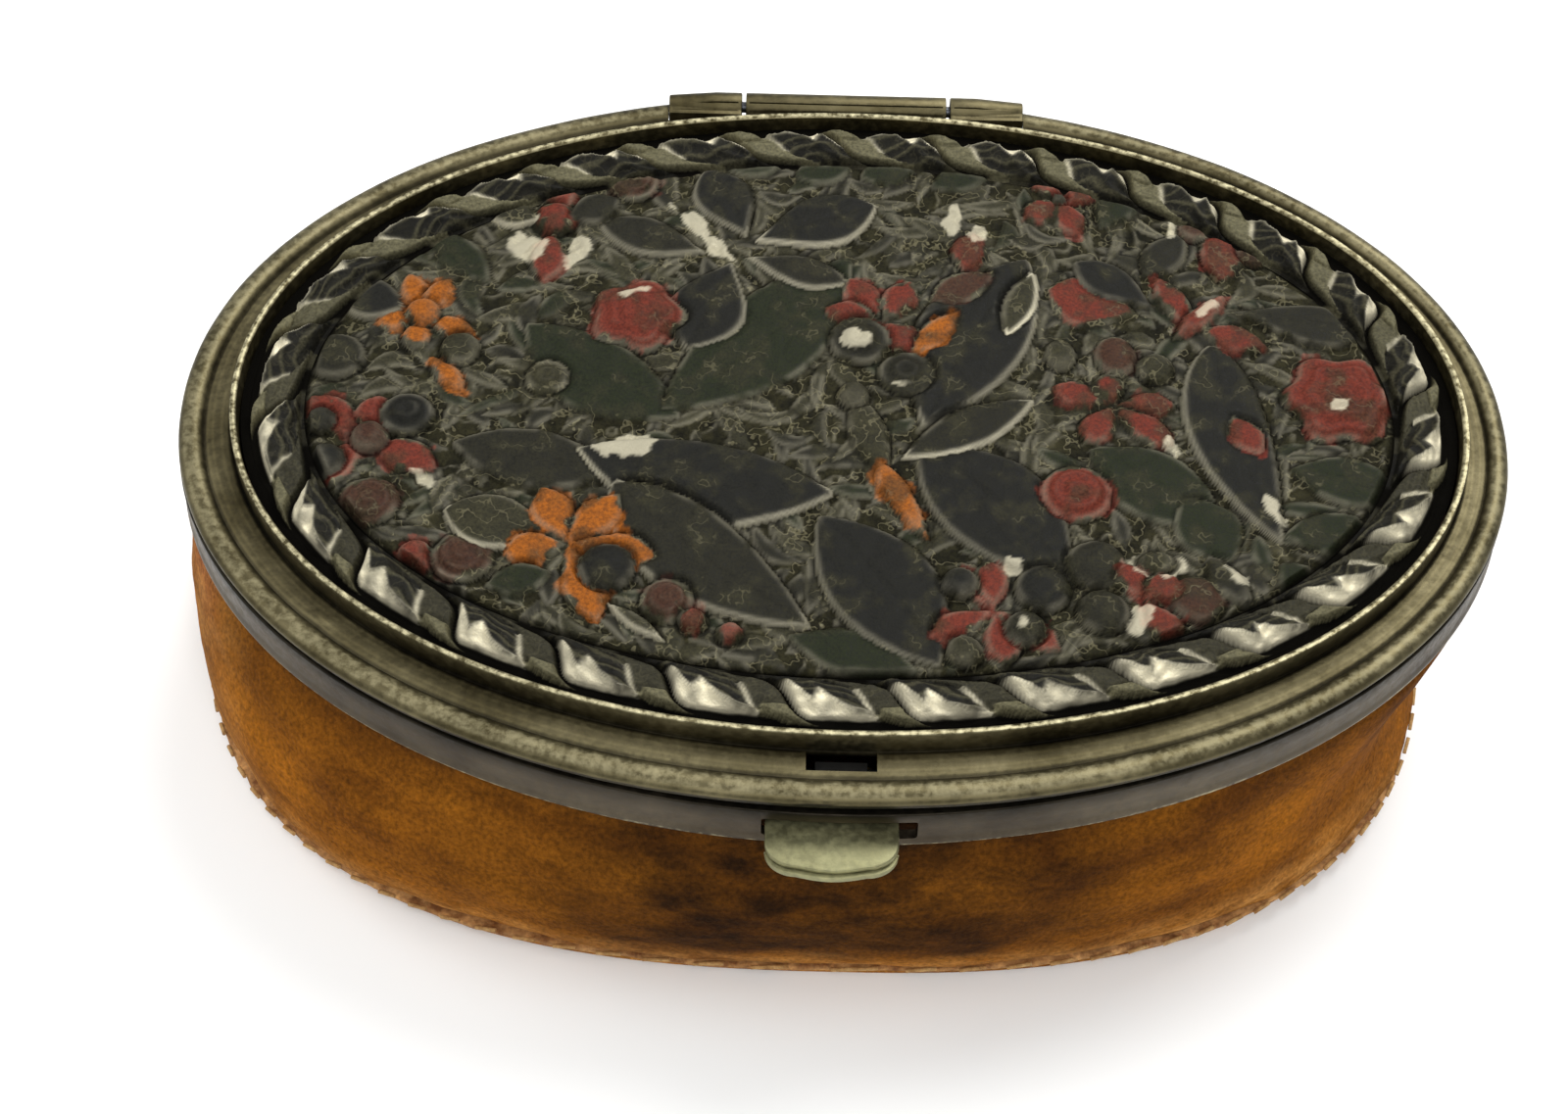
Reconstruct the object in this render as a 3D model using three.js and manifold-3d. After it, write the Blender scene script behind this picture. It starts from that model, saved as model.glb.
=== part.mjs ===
// Oval trinket purse: a pressed metal lid and frame closed over a small leather pouch.
// Millimetres, +Z up. The thumb catch faces -Y, the hinge is at +Y, and the pouch stands on z = 0.

import * as THREE from 'three';
import { mergeVertices } from 'three/addons/utils/BufferGeometryUtils.js';
import Module from 'manifold-3d';

const wasm = await Module();
wasm.setup();

// Overall sizes: the oval that the base ring, the pouch and the lid share
const lidHalfLength = 44;
const lidHalfWidth = 30;
const beadHeight = 22;
const ringSegments = 48;

// Running and fitting clearances
const seatGap = 0.15;
const runningGap = 0.3;
const solderGap = 0.03;

// Lid rim: a bead, a flat shoulder and an upright collar, pressed from one sheet
const rimSheet = 0.45;
const beadRadius = 0.5;
const beadInset = 0.1;
const skirtDrop = 0.75;
const shoulderInset = 1.45;
const shoulderWidth = 1.75;
const shoulderCrown = 0.05;
const collarRise = 1.7;
const collarInset = shoulderInset + shoulderWidth;

// The lid is a little squarer than the base ring and shorter at its ends, and its collar sits off centre
const lidSquareness = 2.05;
const lidEndDraw = 0.45;
const collarShiftX = 0.35;
const collarShiftY = 0.22;

// Slot in the shoulder, and the tongue folded down from it that the catch hooks on
const lidSlotLength = 4.3;
const lidSlotWidth = 1.4;
const lidSlotLand = 0.08;
const keeperSetback = 0.25;
const keeperLength = 3.2;
const keeperSheet = 0.3;
const keeperDrop = 1.4;
const keeperReach = 0.8;

// Repousse panel, its backplate and the lining inside the lid
const panelSheet = 0.5;
const panelLevel = 0.9;
const backplateSheet = 0.3;
const backplateGap = 0.1;
const liningSheet = 0.35;

// Twisted rope border of the panel
const ropeStrands = 28;
const ropeInset = 1.95;
const ropeWidth = 3.7;
const ropeHeight = 1.1;
const strandWidth = 2.5;
const strandOverlap = 1.4;

// Depth of the notches between the petals of a blossom, as a share of its radius
const petalNotch = 0.42;

// Base ring: an outer band with a step, and a neck that stands inside the lid rim
const bandSheet = 0.6;
const bandProud = 0.2;
const bandTopDrop = 1.55;
const bandBottomDrop = 4.8;
const bandFlare = 0.15;
const bandHollow = 0.06;
const bandRoll = 0.5;
const neckSheet = 0.45;
const neckInset = 1;

// Clamp ring that pinches the leather inside the base ring
const clampSheet = 0.55;
const clampHeight = 2.55;

// Hinge: a middle knuckle on the base and a knuckle at each end on the lid
const barrelRadius = 1.05;
const pinRadius = 0.4;
const pinClearance = 0.2;
const baseKnuckleLength = 14.6;
const lidKnuckleLength = 5.3;
const knuckleTaperLength = 3.4;
const knuckleTipRadius = 0.78;
const barrelSetback = 0.05;
const barrelRise = 0.2;

// Thumb catch: a hemmed tab, a plate through the base ring and a hooked leg
const tabWidth = 8.1;
const tabReach = 3.05;
const tabOffset = -0.47;
const tabSheet = 0.45;
const tabDrop = 3.3;
const tabCornerRadius = 2.1;
const tabBow = 0.3;
const hemReach = 0.25;
const hemDepth = 1.5;
const ringSlotLength = 9.5;
const ringSlotHeight = 1.75;
const legWidth = 6.6;
const legSheet = 0.45;
const legRise = 0.9;
const noseReach = 0.4;
const noseSheet = 0.4;
const noseDrop = 0.2;

// Leaf spring that carries the catch, riveted to the clamp ring at its left end
const springSheet = 0.25;
const springWidth = 2.1;
const springLeft = 16;
const springRight = 3.2;
const springFootLength = 4;
const rivetRadius = 0.25;
const rivetHeadRadius = 0.6;
const rivetHeadHeight = 0.3;
const rivetHoleRadius = 0.4;
const rivetInset = 1.3;
const rivetGap = 0.05;
const footRivetPlay = 0.35;
const leverRivetRise = 0.32;

// Pouch of leather, its sewn base and its lining
const leather = 1.2;
const welt = 0.5;
const pouchLining = 0.5;
const pouchBulge = 0.9;
const pouchFrontSwell = 1.15;
const pouchFootOffset = 0.3;
const pouchFootRoll = 0.35;
const pouchSquareness = 2.55;

// The slack right-hand end of the pouch is drawn in at its foot and more at its waist
const slackFoot = 2.9;
const slackWaist = 3.85;
const slackTop = 0.9;

// Levels measured from the bead's centre
const lidUnderside = -rimSheet;
const collarTop = collarRise;
const neckTop = -skirtDrop;
const bandTop = -bandTopDrop;
const bandBottom = -bandBottomDrop;
const flangeUnderside = bandTop - neckSheet;
const leatherTop = flangeUnderside - runningGap;

// Offsets measured outwards from the bead's oval
const bandOuter = bandProud;
const bandInner = bandProud - bandSheet;
const leatherOuter = bandInner - runningGap;
const leatherInner = leatherOuter - leather;
const clampOuter = leatherInner - seatGap;
const clampInner = clampOuter - clampSheet;
const collarInner = -collarInset - rimSheet;
const panelEdge = collarInner - seatGap;

// Hinge axis and the reach of the part in front and behind
const hingeY = lidHalfWidth - barrelSetback - barrelRadius;
const hingeZ = barrelRise;
const frontReach = lidHalfWidth + bandOuter + tabReach + hemReach;
const backReach = lidHalfWidth + pouchBulge;
const leftReach = lidHalfLength + pouchBulge;
const rightReach = lidHalfLength + bandOuter + bandFlare;

// Materials
const whiteMetal = new THREE.MeshStandardMaterial({ color: '#8f8b78', roughness: 0.42, metalness: 0.9 });
const tabMetal = new THREE.MeshStandardMaterial({ color: '#9a9a7c', roughness: 0.5, metalness: 0.75 });
const darkMetal = new THREE.MeshStandardMaterial({ color: '#4b4b42', roughness: 0.5, metalness: 0.7 });
const backMetal = new THREE.MeshStandardMaterial({ color: '#77705a', roughness: 0.55, metalness: 0.8 });
const springSteel = new THREE.MeshStandardMaterial({ color: '#55565a', roughness: 0.35, metalness: 1 });
const brass = new THREE.MeshStandardMaterial({ color: '#a08a55', roughness: 0.4, metalness: 0.9 });
const tanLeather = new THREE.MeshStandardMaterial({ color: '#a2622a', roughness: 0.8, metalness: 0 });
const paleLeather = new THREE.MeshStandardMaterial({ color: '#c49a62', roughness: 0.85, metalness: 0 });
const kidLining = new THREE.MeshStandardMaterial({ color: '#5f2824', roughness: 0.6, metalness: 0 });

// Merges a geometry's corners, drops the flat triangles at its poles and turns its faces outwards
function closed(geometry) {
  const bare = geometry.index ? geometry.clone() : mergeVertices(geometry.clone());
  bare.deleteAttribute('normal');
  bare.deleteAttribute('uv');
  const merged = mergeVertices(bare, 1e-4);
  const position = merged.attributes.position;
  const source = merged.index.array;
  const corner = [new THREE.Vector3(), new THREE.Vector3(), new THREE.Vector3()];
  const index = [];
  let volume = 0;
  for (let i = 0; i < source.length; i += 3) {
    const [a, b, c] = [source[i], source[i + 1], source[i + 2]];
    if (a === b || b === c || c === a) {
      continue;
    }
    index.push(a, b, c);
    corner[0].fromBufferAttribute(position, a);
    corner[1].fromBufferAttribute(position, b);
    corner[2].fromBufferAttribute(position, c);
    volume += corner[0].dot(corner[1].cross(corner[2])) / 6;
  }
  if (volume < 0) {
    index.reverse();
  }
  merged.setIndex(index);
  return merged;
}

// A solid that can be joined to others and cut by them
function solidOf(geometry) {
  const merged = closed(geometry);
  return new wasm.Manifold(new wasm.Mesh({
    numProp: 3,
    vertProperties: Float32Array.from(merged.attributes.position.array),
    triVerts: Uint32Array.from(merged.index.array),
  }));
}

// The surface of a solid, as a geometry
function surfaceOf(solid) {
  const mesh = solid.getMesh();
  const geometry = new THREE.BufferGeometry();
  geometry.setAttribute('position', new THREE.BufferAttribute(Float32Array.from(mesh.vertProperties), 3));
  geometry.setIndex(new THREE.BufferAttribute(Uint32Array.from(mesh.triVerts), 1));
  return closed(geometry);
}

// A named piece
function piece(name, geometry, material) {
  const mesh = new THREE.Mesh(geometry, material);
  mesh.name = name;
  return mesh;
}

// A box between two corners
function boxBetween(low, high) {
  const size = high.map((value, axis) => value - low[axis]);
  const geometry = new THREE.BoxGeometry(...size);
  geometry.translate(...high.map((value, axis) => (value + low[axis]) / 2));
  return geometry;
}

// A rod along X or Y
function rod(radius, length, axis, sides = 20) {
  const geometry = new THREE.CylinderGeometry(radius, radius, length, sides);
  if (axis === 'x') {
    geometry.rotateZ(Math.PI / 2);
  }
  return geometry;
}

// The point of an oval, moved outwards by an offset, at a turn from the right-hand end. A squareness
// of 2 is an ellipse, and a larger one fills the corners out.
function squaredOval(turn, offset, squareness) {
  const power = 2 / squareness;
  const cosine = Math.cos(turn);
  const sine = Math.sin(turn);
  return [
    Math.sign(cosine) * Math.abs(cosine) ** power * (lidHalfLength + offset),
    Math.sign(sine) * Math.abs(sine) ** power * (lidHalfWidth + offset),
  ];
}

// The base ring's oval
function ovalPoint(turn, offset) {
  return squaredOval(turn, offset, 2);
}

// The lid's oval: from the bead in to the collar its ends lengthen to the full oval and it moves off centre
function lidPoint(turn, offset) {
  const inwards = THREE.MathUtils.clamp(-offset / collarInset, 0, 1);
  const [x, y] = squaredOval(turn, offset, lidSquareness);
  const drawn = 1 - lidEndDraw * (1 - inwards) / lidHalfLength;
  return [x * drawn + collarShiftX * inwards, y + collarShiftY * inwards];
}

// A ring: a closed profile of [offset, height] points is revolved, and its turn is drawn over the oval
function ovalRing(profile, placeAt = ovalPoint) {
  const points = profile.map(([offset, height]) => new THREE.Vector2(lidHalfLength + offset, height));
  const geometry = new THREE.LatheGeometry([...points, points[0]], ringSegments);
  geometry.rotateX(Math.PI / 2);
  const position = geometry.attributes.position;
  for (let i = 0; i < position.count; i += 1) {
    const turn = Math.atan2(position.getY(i), position.getX(i));
    const radius = Math.hypot(position.getX(i), position.getY(i));
    const [x, y] = placeAt(turn, radius - lidHalfLength, position.getZ(i));
    position.setXY(i, x, y);
  }
  return closed(geometry);
}

// A plate or cup: the profile of [share, offset, height] points runs from the middle out and back to
// the middle. A share of 0 is the middle, and a share of 1 is the oval at the offset.
function ovalPlate(profile, placeAt = ovalPoint) {
  const points = profile.map(([share, offset, height]) => new THREE.Vector3(share, offset, height));
  const lathe = points.map((point) => new THREE.Vector2(point.x, point.z));
  const geometry = new THREE.LatheGeometry(lathe, ringSegments);
  geometry.rotateX(Math.PI / 2);
  const position = geometry.attributes.position;
  for (let i = 0; i < position.count; i += 1) {
    const point = points[i % points.length];
    const turn = Math.atan2(position.getY(i), position.getX(i));
    const [x, y] = placeAt(turn, point.y, point.z);
    position.setXY(i, x * point.x, y * point.x);
  }
  return closed(geometry);
}

// A strip that follows the inside of the oval, between two places along X at the front
function frontStrip(outerOffset, innerOffset, left, right, bottom, top) {
  const steps = 14;
  const places = Array.from({ length: steps + 1 }, (_, i) => left + (right - left) * i / steps);
  const edge = (offset) => places.map((x) => new THREE.Vector2(x, frontY(offset, x)));
  const shape = new THREE.Shape([...edge(outerOffset), ...edge(innerOffset).reverse()]);
  const geometry = new THREE.ExtrudeGeometry(shape, { depth: top - bottom, bevelEnabled: false });
  geometry.translate(0, 0, bottom);
  return geometry;
}

// The place along Y at the front of the oval
function frontY(offset, x = 0) {
  return -(lidHalfWidth + offset) * Math.sqrt(1 - (x / (lidHalfLength + offset)) ** 2);
}

// Lid rim
function makeLidRim() {
  const bead = [-40, 0, 45, 90, 135].map((degrees) => {
    const angle = THREE.MathUtils.degToRad(degrees);
    return [-beadInset + beadRadius * Math.cos(angle), -beadInset + beadRadius * Math.sin(angle)];
  });
  const skirt = beadRadius / 3;
  const profile = [
    [skirt, -skirtDrop],
    ...bead,
    [-shoulderInset + beadRadius, -beadInset / 4],
    [-shoulderInset, shoulderCrown],
    [-collarInset + shoulderCrown, 0],
    [-collarInset, shoulderCrown],
    [-collarInset, collarTop],
    [collarInner, collarTop],
    [collarInner, lidUnderside],
    [skirt - rimSheet, lidUnderside],
    [skirt - rimSheet, -skirtDrop],
  ];
  const slotBack = lidPoint(-Math.PI / 2, -collarInset)[1] - lidSlotLand;
  const slotFront = slotBack - lidSlotWidth;
  const slot = boxBetween(
    [-lidSlotLength / 2, slotFront, lidUnderside * 2],
    [lidSlotLength / 2, slotBack, collarRise / 4],
  );
  const legFront = slotFront - keeperSetback;
  const keeperLeg = boxBetween(
    [-keeperLength / 2, legFront, -keeperDrop],
    [keeperLength / 2, legFront + keeperSheet, lidUnderside / 2],
  );
  const keeperLedge = boxBetween(
    [-keeperLength / 2, legFront, -keeperDrop],
    [keeperLength / 2, legFront + keeperReach, -keeperDrop + keeperSheet],
  );
  const hingeHalf = baseKnuckleLength / 2 + runningGap + lidKnuckleLength + seatGap / 3;
  const hingeCut = boxBetween(
    [-hingeHalf, hingeY - barrelRadius - runningGap, -beadHeight],
    [hingeHalf, lidHalfWidth + beadHeight, beadHeight],
  );
  const rim = solidOf(ovalRing(profile, lidPoint)).subtract(solidOf(slot)).subtract(solidOf(hingeCut));
  return surfaceOf(rim.add(solidOf(keeperLeg)).add(solidOf(keeperLedge)));
}

// Relief of the panel. A blade is a leaf, petal or wing from its root to its tip, a flower is a dome
// with lobes round a middle, and a boss is a plain dome.
const blade = (root, tip, width, height, bow = 0) => ({ root, tip, width, height, bow });
const flower = (x, y, radius, height, lobes) => ({ x, y, radius, height, lobes });
const boss = (x, y, radius, height) => ({ x, y, radius, height, lobes: 0 });

const blades = [
  // middle butterfly: forewings, hindwings and body
  blade([5.2, -2], [12.6, 13.4], 8, 0.95, 0.4),
  blade([-0.6, -7.8], [-17.4, -4.6], 7, 0.95, -1),
  blade([-14.9, -7.4], [-2, -18.4], 6.8, 0.85, -0.6),
  blade([-1.6, -9.6], [5.9, -21], 7.2, 0.8, 0.4),
  blade([5, -4], [14.2, -14.4], 7.6, 0.85, 0.6),
  blade([3.8, -4.6], [12.6, 0.6], 3.6, 0.75),
  blade([0.6, 1], [5.5, -11.6], 2.6, 1.15),
  // small butterfly at the back
  blade([-6.8, 14.8], [-9.9, 21.4], 4.3, 0.8),
  blade([-6.4, 14.4], [2.2, 18.2], 5, 0.85),
  blade([-7.8, 12.6], [-10.6, 4.4], 5.6, 0.8),
  blade([-9.5, 13.2], [-17.2, 15.9], 3.6, 0.7),
  // left-hand butterfly
  blade([-17.8, -11.8], [-25.6, -9.8], 4.6, 0.75),
  blade([-17.2, -11.6], [-11.6, -7.8], 3.8, 0.9),
  blade([-16.8, -12.8], [-11.8, -17.8], 3.8, 0.8),
  blade([-15.4, -10.2], [-21, -14.4], 2.4, 1.05),
  // right-hand butterfly
  blade([21.6, 8], [13.9, 10.6], 5.4, 0.8),
  blade([24.7, 6.4], [27.9, -11], 5.8, 0.9, 0.8),
  blade([26, 9], [36, 7], 4, 0.75),
  blade([22.2, 6.2], [26.2, 10.4], 2, 1.15),
  blade([26, 11], [26.7, 17.8], 4, 0.85),
  // flat leaves
  blade([-10.8, -1.6], [-21.6, 6.4], 6.4, 0.6, -0.5),
  blade([-12, -1], [0.4, 13.2], 7.2, 0.6, -0.6),
  blade([-14.8, -6.6], [-25.6, -4.2], 5, 0.7),
  blade([16, -3.4], [24.2, -9.4], 5.8, 0.6),
  blade([29, -4.8], [36.6, -6.6], 4.2, 0.6),
  blade([35, -11.2], [38.4, -6.8], 3.8, 0.7),
  blade([-3.4, -19], [4.6, -21.4], 3.6, 0.6),
  blade([1, 20.9], [10.4, 22], 3.2, 0.6),
  blade([-31.4, 14.6], [-35.6, 9.6], 3.4, 0.6),
  // single petals and buds
  blade([-20.1, 21.4], [-20.6, 10.2], 2.8, 0.8),
  blade([-28.6, 7], [-34.7, 9], 3.8, 0.7),
  blade([8.2, 12.2], [8.9, 15.8], 2.8, 0.75),
  blade([17.8, 16.6], [20.8, 21.6], 3.2, 0.65),
  blade([23, -12], [25.5, -16], 2.4, 0.8),
];

const blossoms = [
  flower(-28.6, 7, 3.6, 0.8, 5),
  flower(-14.1, 7.3, 3.1, 1, 5),
  flower(-31.4, -4.4, 4.4, 0.85, 5),
  flower(2, 6.8, 4, 0.85, 5),
  flower(15.1, 19.2, 3.2, 0.75, 5),
  flower(33, 1.3, 3.8, 1.05, 6),
  flower(17.8, 0.3, 4, 0.75, 5),
  flower(9.6, -16.8, 4.3, 0.85, 5),
  flower(19.2, -15.6, 3.5, 0.85, 5),
  boss(15, -7.2, 2.3, 0.9),
  boss(-24, -13.5, 2, 0.8),
  boss(-30.4, -10, 1.7, 0.7),
  boss(-34, 3, 2, 0.7),
  boss(-15, 20, 1.8, 0.7),
  boss(18.2, 4.9, 1.8, 0.7),
  boss(14.4, -11.6, 1.8, 0.75),
  boss(-10.6, -17, 1.7, 0.8),
];

// A spindle along X with a ridge on top and a tip at each end, half sunk in the sheet. It is revolved
// with six sides, so the widest corners of its section stand at the cosine of 30 degrees.
function spindle(length, width, height, stations, bluntness) {
  const profile = [];
  for (let i = 0; i <= stations; i += 1) {
    const share = i / stations;
    const swell = i === 0 || i === stations ? 0 : Math.sin(Math.PI * share) ** (1 - bluntness);
    profile.push(new THREE.Vector2(swell, (share - 0.5) * length));
  }
  const geometry = new THREE.LatheGeometry(profile, 6);
  geometry.rotateZ(-Math.PI / 2);
  const halfWidth = width / 2 / Math.cos(Math.PI / 6);
  const position = geometry.attributes.position;
  for (let i = 0; i < position.count; i += 1) {
    const up = position.getZ(i);
    position.setY(i, position.getY(i) * halfWidth);
    position.setZ(i, up * (up > 0 ? height : panelSheet / 2));
  }
  return geometry;
}

// A blade laid on the panel, bowed sideways between its root and its tip
function makeBlade({ root, tip, width, height, bow }) {
  const [dx, dy] = [tip[0] - root[0], tip[1] - root[1]];
  const length = Math.hypot(dx, dy);
  const geometry = spindle(length, width, height, length > 6 ? 6 : 4, 0.25);
  const position = geometry.attributes.position;
  for (let i = 0; i < position.count; i += 1) {
    const along = position.getX(i) * 2 / length;
    position.setY(i, position.getY(i) + bow * (1 - along ** 2));
  }
  geometry.rotateZ(Math.atan2(dy, dx));
  geometry.translate((root[0] + tip[0]) / 2, (root[1] + tip[1]) / 2, panelLevel);
  return solidOf(geometry);
}

// A blossom: petals with a hollow round a raised middle, or a plain dome where it has no lobes
function makeBlossom({ x, y, radius, height, lobes }) {
  const root = -panelSheet / 2;
  const foot = [[0, root], [1, root]];
  const petals = [[1, height * 0.4], [0.72, height * 0.8], [0.36, height * 0.5], [0.24, height], [0, height]];
  const dome = [[1, 0], [0.7, height * 0.75], [0, height]];
  const outline = [...foot, ...(lobes ? petals : dome)];
  const profile = outline.map(([share, up]) => new THREE.Vector2(share * radius, up));
  const geometry = new THREE.LatheGeometry(profile, lobes ? lobes * 3 : 8);
  geometry.rotateX(Math.PI / 2);
  const position = geometry.attributes.position;
  for (let i = 0; i < position.count && lobes; i += 1) {
    const turn = Math.atan2(position.getY(i), position.getX(i));
    const share = Math.hypot(position.getX(i), position.getY(i)) / radius;
    const notch = (1 + 2 * Math.cos(lobes * (turn + Math.PI / 2))) / 3;
    const lobe = 1 - petalNotch * notch * share;
    position.setXY(i, position.getX(i) * lobe, position.getY(i) * lobe);
  }
  geometry.translate(x, y, panelLevel);
  return solidOf(geometry);
}

// Turns round the panel's edge that lie the same length apart, found by walking it in small steps
function evenTurns(count) {
  const steps = 720;
  const walk = [0];
  let last = lidPoint(0, panelEdge - ropeInset);
  for (let i = 1; i <= steps; i += 1) {
    const next = lidPoint(i * 2 * Math.PI / steps, panelEdge - ropeInset);
    walk.push(walk[i - 1] + Math.hypot(next[0] - last[0], next[1] - last[1]));
    last = next;
  }
  const turns = [];
  for (let i = 0; i < count; i += 1) {
    const step = walk.findIndex((length) => length >= walk[steps] * i / count);
    turns.push(step * 2 * Math.PI / steps);
  }
  return { turns, pitch: walk[steps] / count };
}

// Twisted rope border: each strand leans from the collar inwards and lies beside the next
function makeRopeStrands() {
  const { turns, pitch } = evenTurns(ropeStrands);
  const length = pitch * strandOverlap;
  const middle = panelEdge - ropeInset;
  return turns.map((turn) => {
    const geometry = spindle(length, strandWidth, ropeHeight, 5, 0.5);
    const position = geometry.attributes.position;
    const perTurn = [(lidHalfLength + middle) * Math.sin(turn), (lidHalfWidth + middle) * Math.cos(turn)];
    for (let i = 0; i < position.count; i += 1) {
      const along = position.getX(i);
      const lean = Math.sin(along / length * Math.PI) * (ropeWidth - strandWidth) / 2;
      const [x, y] = lidPoint(turn + along / Math.hypot(...perTurn), middle + lean + position.getY(i));
      position.setXY(i, x, y);
    }
    geometry.translate(0, 0, panelLevel);
    return solidOf(geometry);
  });
}

// Repousse panel: the sheet with every raised form beaten up out of it
function makePanel() {
  let panel = solidOf(ovalSheet(panelEdge, panelLevel - panelSheet, panelSheet));
  const forms = [...makeRopeStrands(), ...blades.map(makeBlade), ...blossoms.map(makeBlossom)];
  forms.forEach((form) => {
    panel = panel.add(form);
  });
  const keep = ovalSheet(panelEdge, panelLevel - panelSheet, panelSheet + ropeHeight * 2);
  return surfaceOf(panel.intersect(solidOf(keep)));
}

// A flat sheet inside the collar
function ovalSheet(edge, bottom, thickness) {
  const top = bottom + thickness;
  return ovalPlate([[0, edge, top], [1, edge, top], [1, edge, bottom], [0, edge, bottom]], lidPoint);
}

// Base ring
function makeBaseRing() {
  const profile = [
    [bandOuter, bandTop],
    [-neckInset, bandTop],
    [-neckInset, neckTop],
    [-neckInset - neckSheet, neckTop],
    [-neckInset - neckSheet, flangeUnderside],
    [bandInner, flangeUnderside],
    [bandInner, bandBottom + bandRoll],
    [bandInner + bandFlare, bandBottom],
    [bandOuter + bandFlare, bandBottom],
    [bandOuter, bandBottom + bandRoll],
    [bandOuter - bandHollow, (bandTop + bandBottom) / 2],
    [bandOuter, bandTop - bandRoll / 2],
  ];
  const ring = solidOf(ovalRing(profile.reverse()));
  const slot = boxBetween(
    [-ringSlotLength / 2, frontY(bandOuter + bandSheet), -tabDrop - ringSlotHeight / 2],
    [ringSlotLength / 2, frontY(bandInner - bandSheet), -tabDrop + ringSlotHeight / 2],
  );
  const hingeHalf = baseKnuckleLength / 2 + runningGap * 2 + lidKnuckleLength;
  const neckCut = boxBetween(
    [-hingeHalf, hingeY - barrelRadius - runningGap * 2.6, bandTop + solderGap],
    [hingeHalf, lidHalfWidth + barrelRadius, neckTop + barrelRadius],
  );
  return surfaceOf(ring.subtract(solidOf(slot)).subtract(solidOf(neckCut)));
}

// Room at the front of the clamp ring and the leather for the catch's plate
function catchNotch() {
  const half = ringSlotLength / 2 + runningGap;
  return solidOf(boxBetween(
    [-half, frontY(bandOuter), -tabDrop - tabSheet * 1.6],
    [half, frontY(clampInner - clampSheet * 4), 0],
  ));
}

function makeClampRing() {
  const top = leatherTop;
  const profile = [
    [clampOuter, top - clampHeight],
    [clampOuter, top],
    [clampInner, top],
    [clampInner, top - clampHeight],
  ];
  let ring = solidOf(ovalRing(profile)).subtract(catchNotch());
  footRivetPlaces().forEach((x) => {
    ring = ring.subtract(rivetHole(x, clampOuter + clampSheet, clampInner - clampSheet, footHeight()));
  });
  return surfaceOf(ring);
}

// Hinge
function bore(length, centre) {
  const inner = rod(pinRadius + pinClearance, length + barrelRadius, 'x');
  inner.translate(centre, hingeY, hingeZ);
  return solidOf(inner);
}

function makeBaseKnuckle() {
  const half = baseKnuckleLength / 2;
  const footDepth = barrelRadius * 0.7;
  const foot = boxBetween(
    [-half, hingeY - footDepth, bandTop + solderGap],
    [half, hingeY + footDepth, hingeZ],
  );
  const barrel = rod(barrelRadius, baseKnuckleLength, 'x');
  barrel.translate(0, hingeY, hingeZ);
  return surfaceOf(solidOf(barrel).add(solidOf(foot)).subtract(bore(baseKnuckleLength, 0)));
}

// A lid knuckle tapers towards its outer end, where it runs into the bead
function makeLidKnuckle(side) {
  const centre = side * (baseKnuckleLength / 2 + runningGap + lidKnuckleLength / 2);
  const half = lidKnuckleLength / 2;
  const profile = [
    [0, -half],
    [barrelRadius, -half],
    [barrelRadius, half - knuckleTaperLength],
    [knuckleTipRadius, half],
    [0, half],
  ].map(([radius, along]) => new THREE.Vector2(radius, along));
  const barrel = new THREE.LatheGeometry(profile, 20);
  barrel.rotateZ(-side * Math.PI / 2);
  barrel.translate(centre, hingeY, hingeZ);
  const arm = boxBetween(
    [centre - half, hingeY - barrelRadius - runningGap + solderGap, lidUnderside],
    [centre + half, hingeY, hingeZ + knuckleTipRadius * 0.7],
  );
  return surfaceOf(solidOf(barrel).add(solidOf(arm)).subtract(bore(lidKnuckleLength, centre)));
}

function makeHingePin() {
  const length = baseKnuckleLength + 2 * (runningGap + lidKnuckleLength);
  const pin = rod(pinRadius, length, 'x', 14);
  pin.translate(0, hingeY, hingeZ);
  return closed(pin);
}

// Outline of the thumb tab, from the wall of the base ring outwards
function tabShape(reach) {
  const half = tabWidth / 2;
  const root = frontY(clampInner);
  const front = frontY(bandOuter) - reach;
  const [cornerX, cornerY] = [half - tabCornerRadius, front + tabBow + tabCornerRadius];
  const shape = new THREE.Shape();
  shape.moveTo(-half, root);
  shape.lineTo(-half, cornerY);
  shape.quadraticCurveTo(-half, front + tabBow, -cornerX, front + tabBow);
  shape.quadraticCurveTo(0, front - tabBow, cornerX, front + tabBow);
  shape.quadraticCurveTo(half, front + tabBow, half, cornerY);
  shape.lineTo(half, root);
  return shape;
}

function plateFrom(shape, bottom, thickness) {
  const settings = { depth: thickness, bevelEnabled: false, curveSegments: 8 };
  const geometry = new THREE.ExtrudeGeometry(shape, settings);
  geometry.translate(tabOffset, 0, bottom);
  return solidOf(geometry);
}

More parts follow.
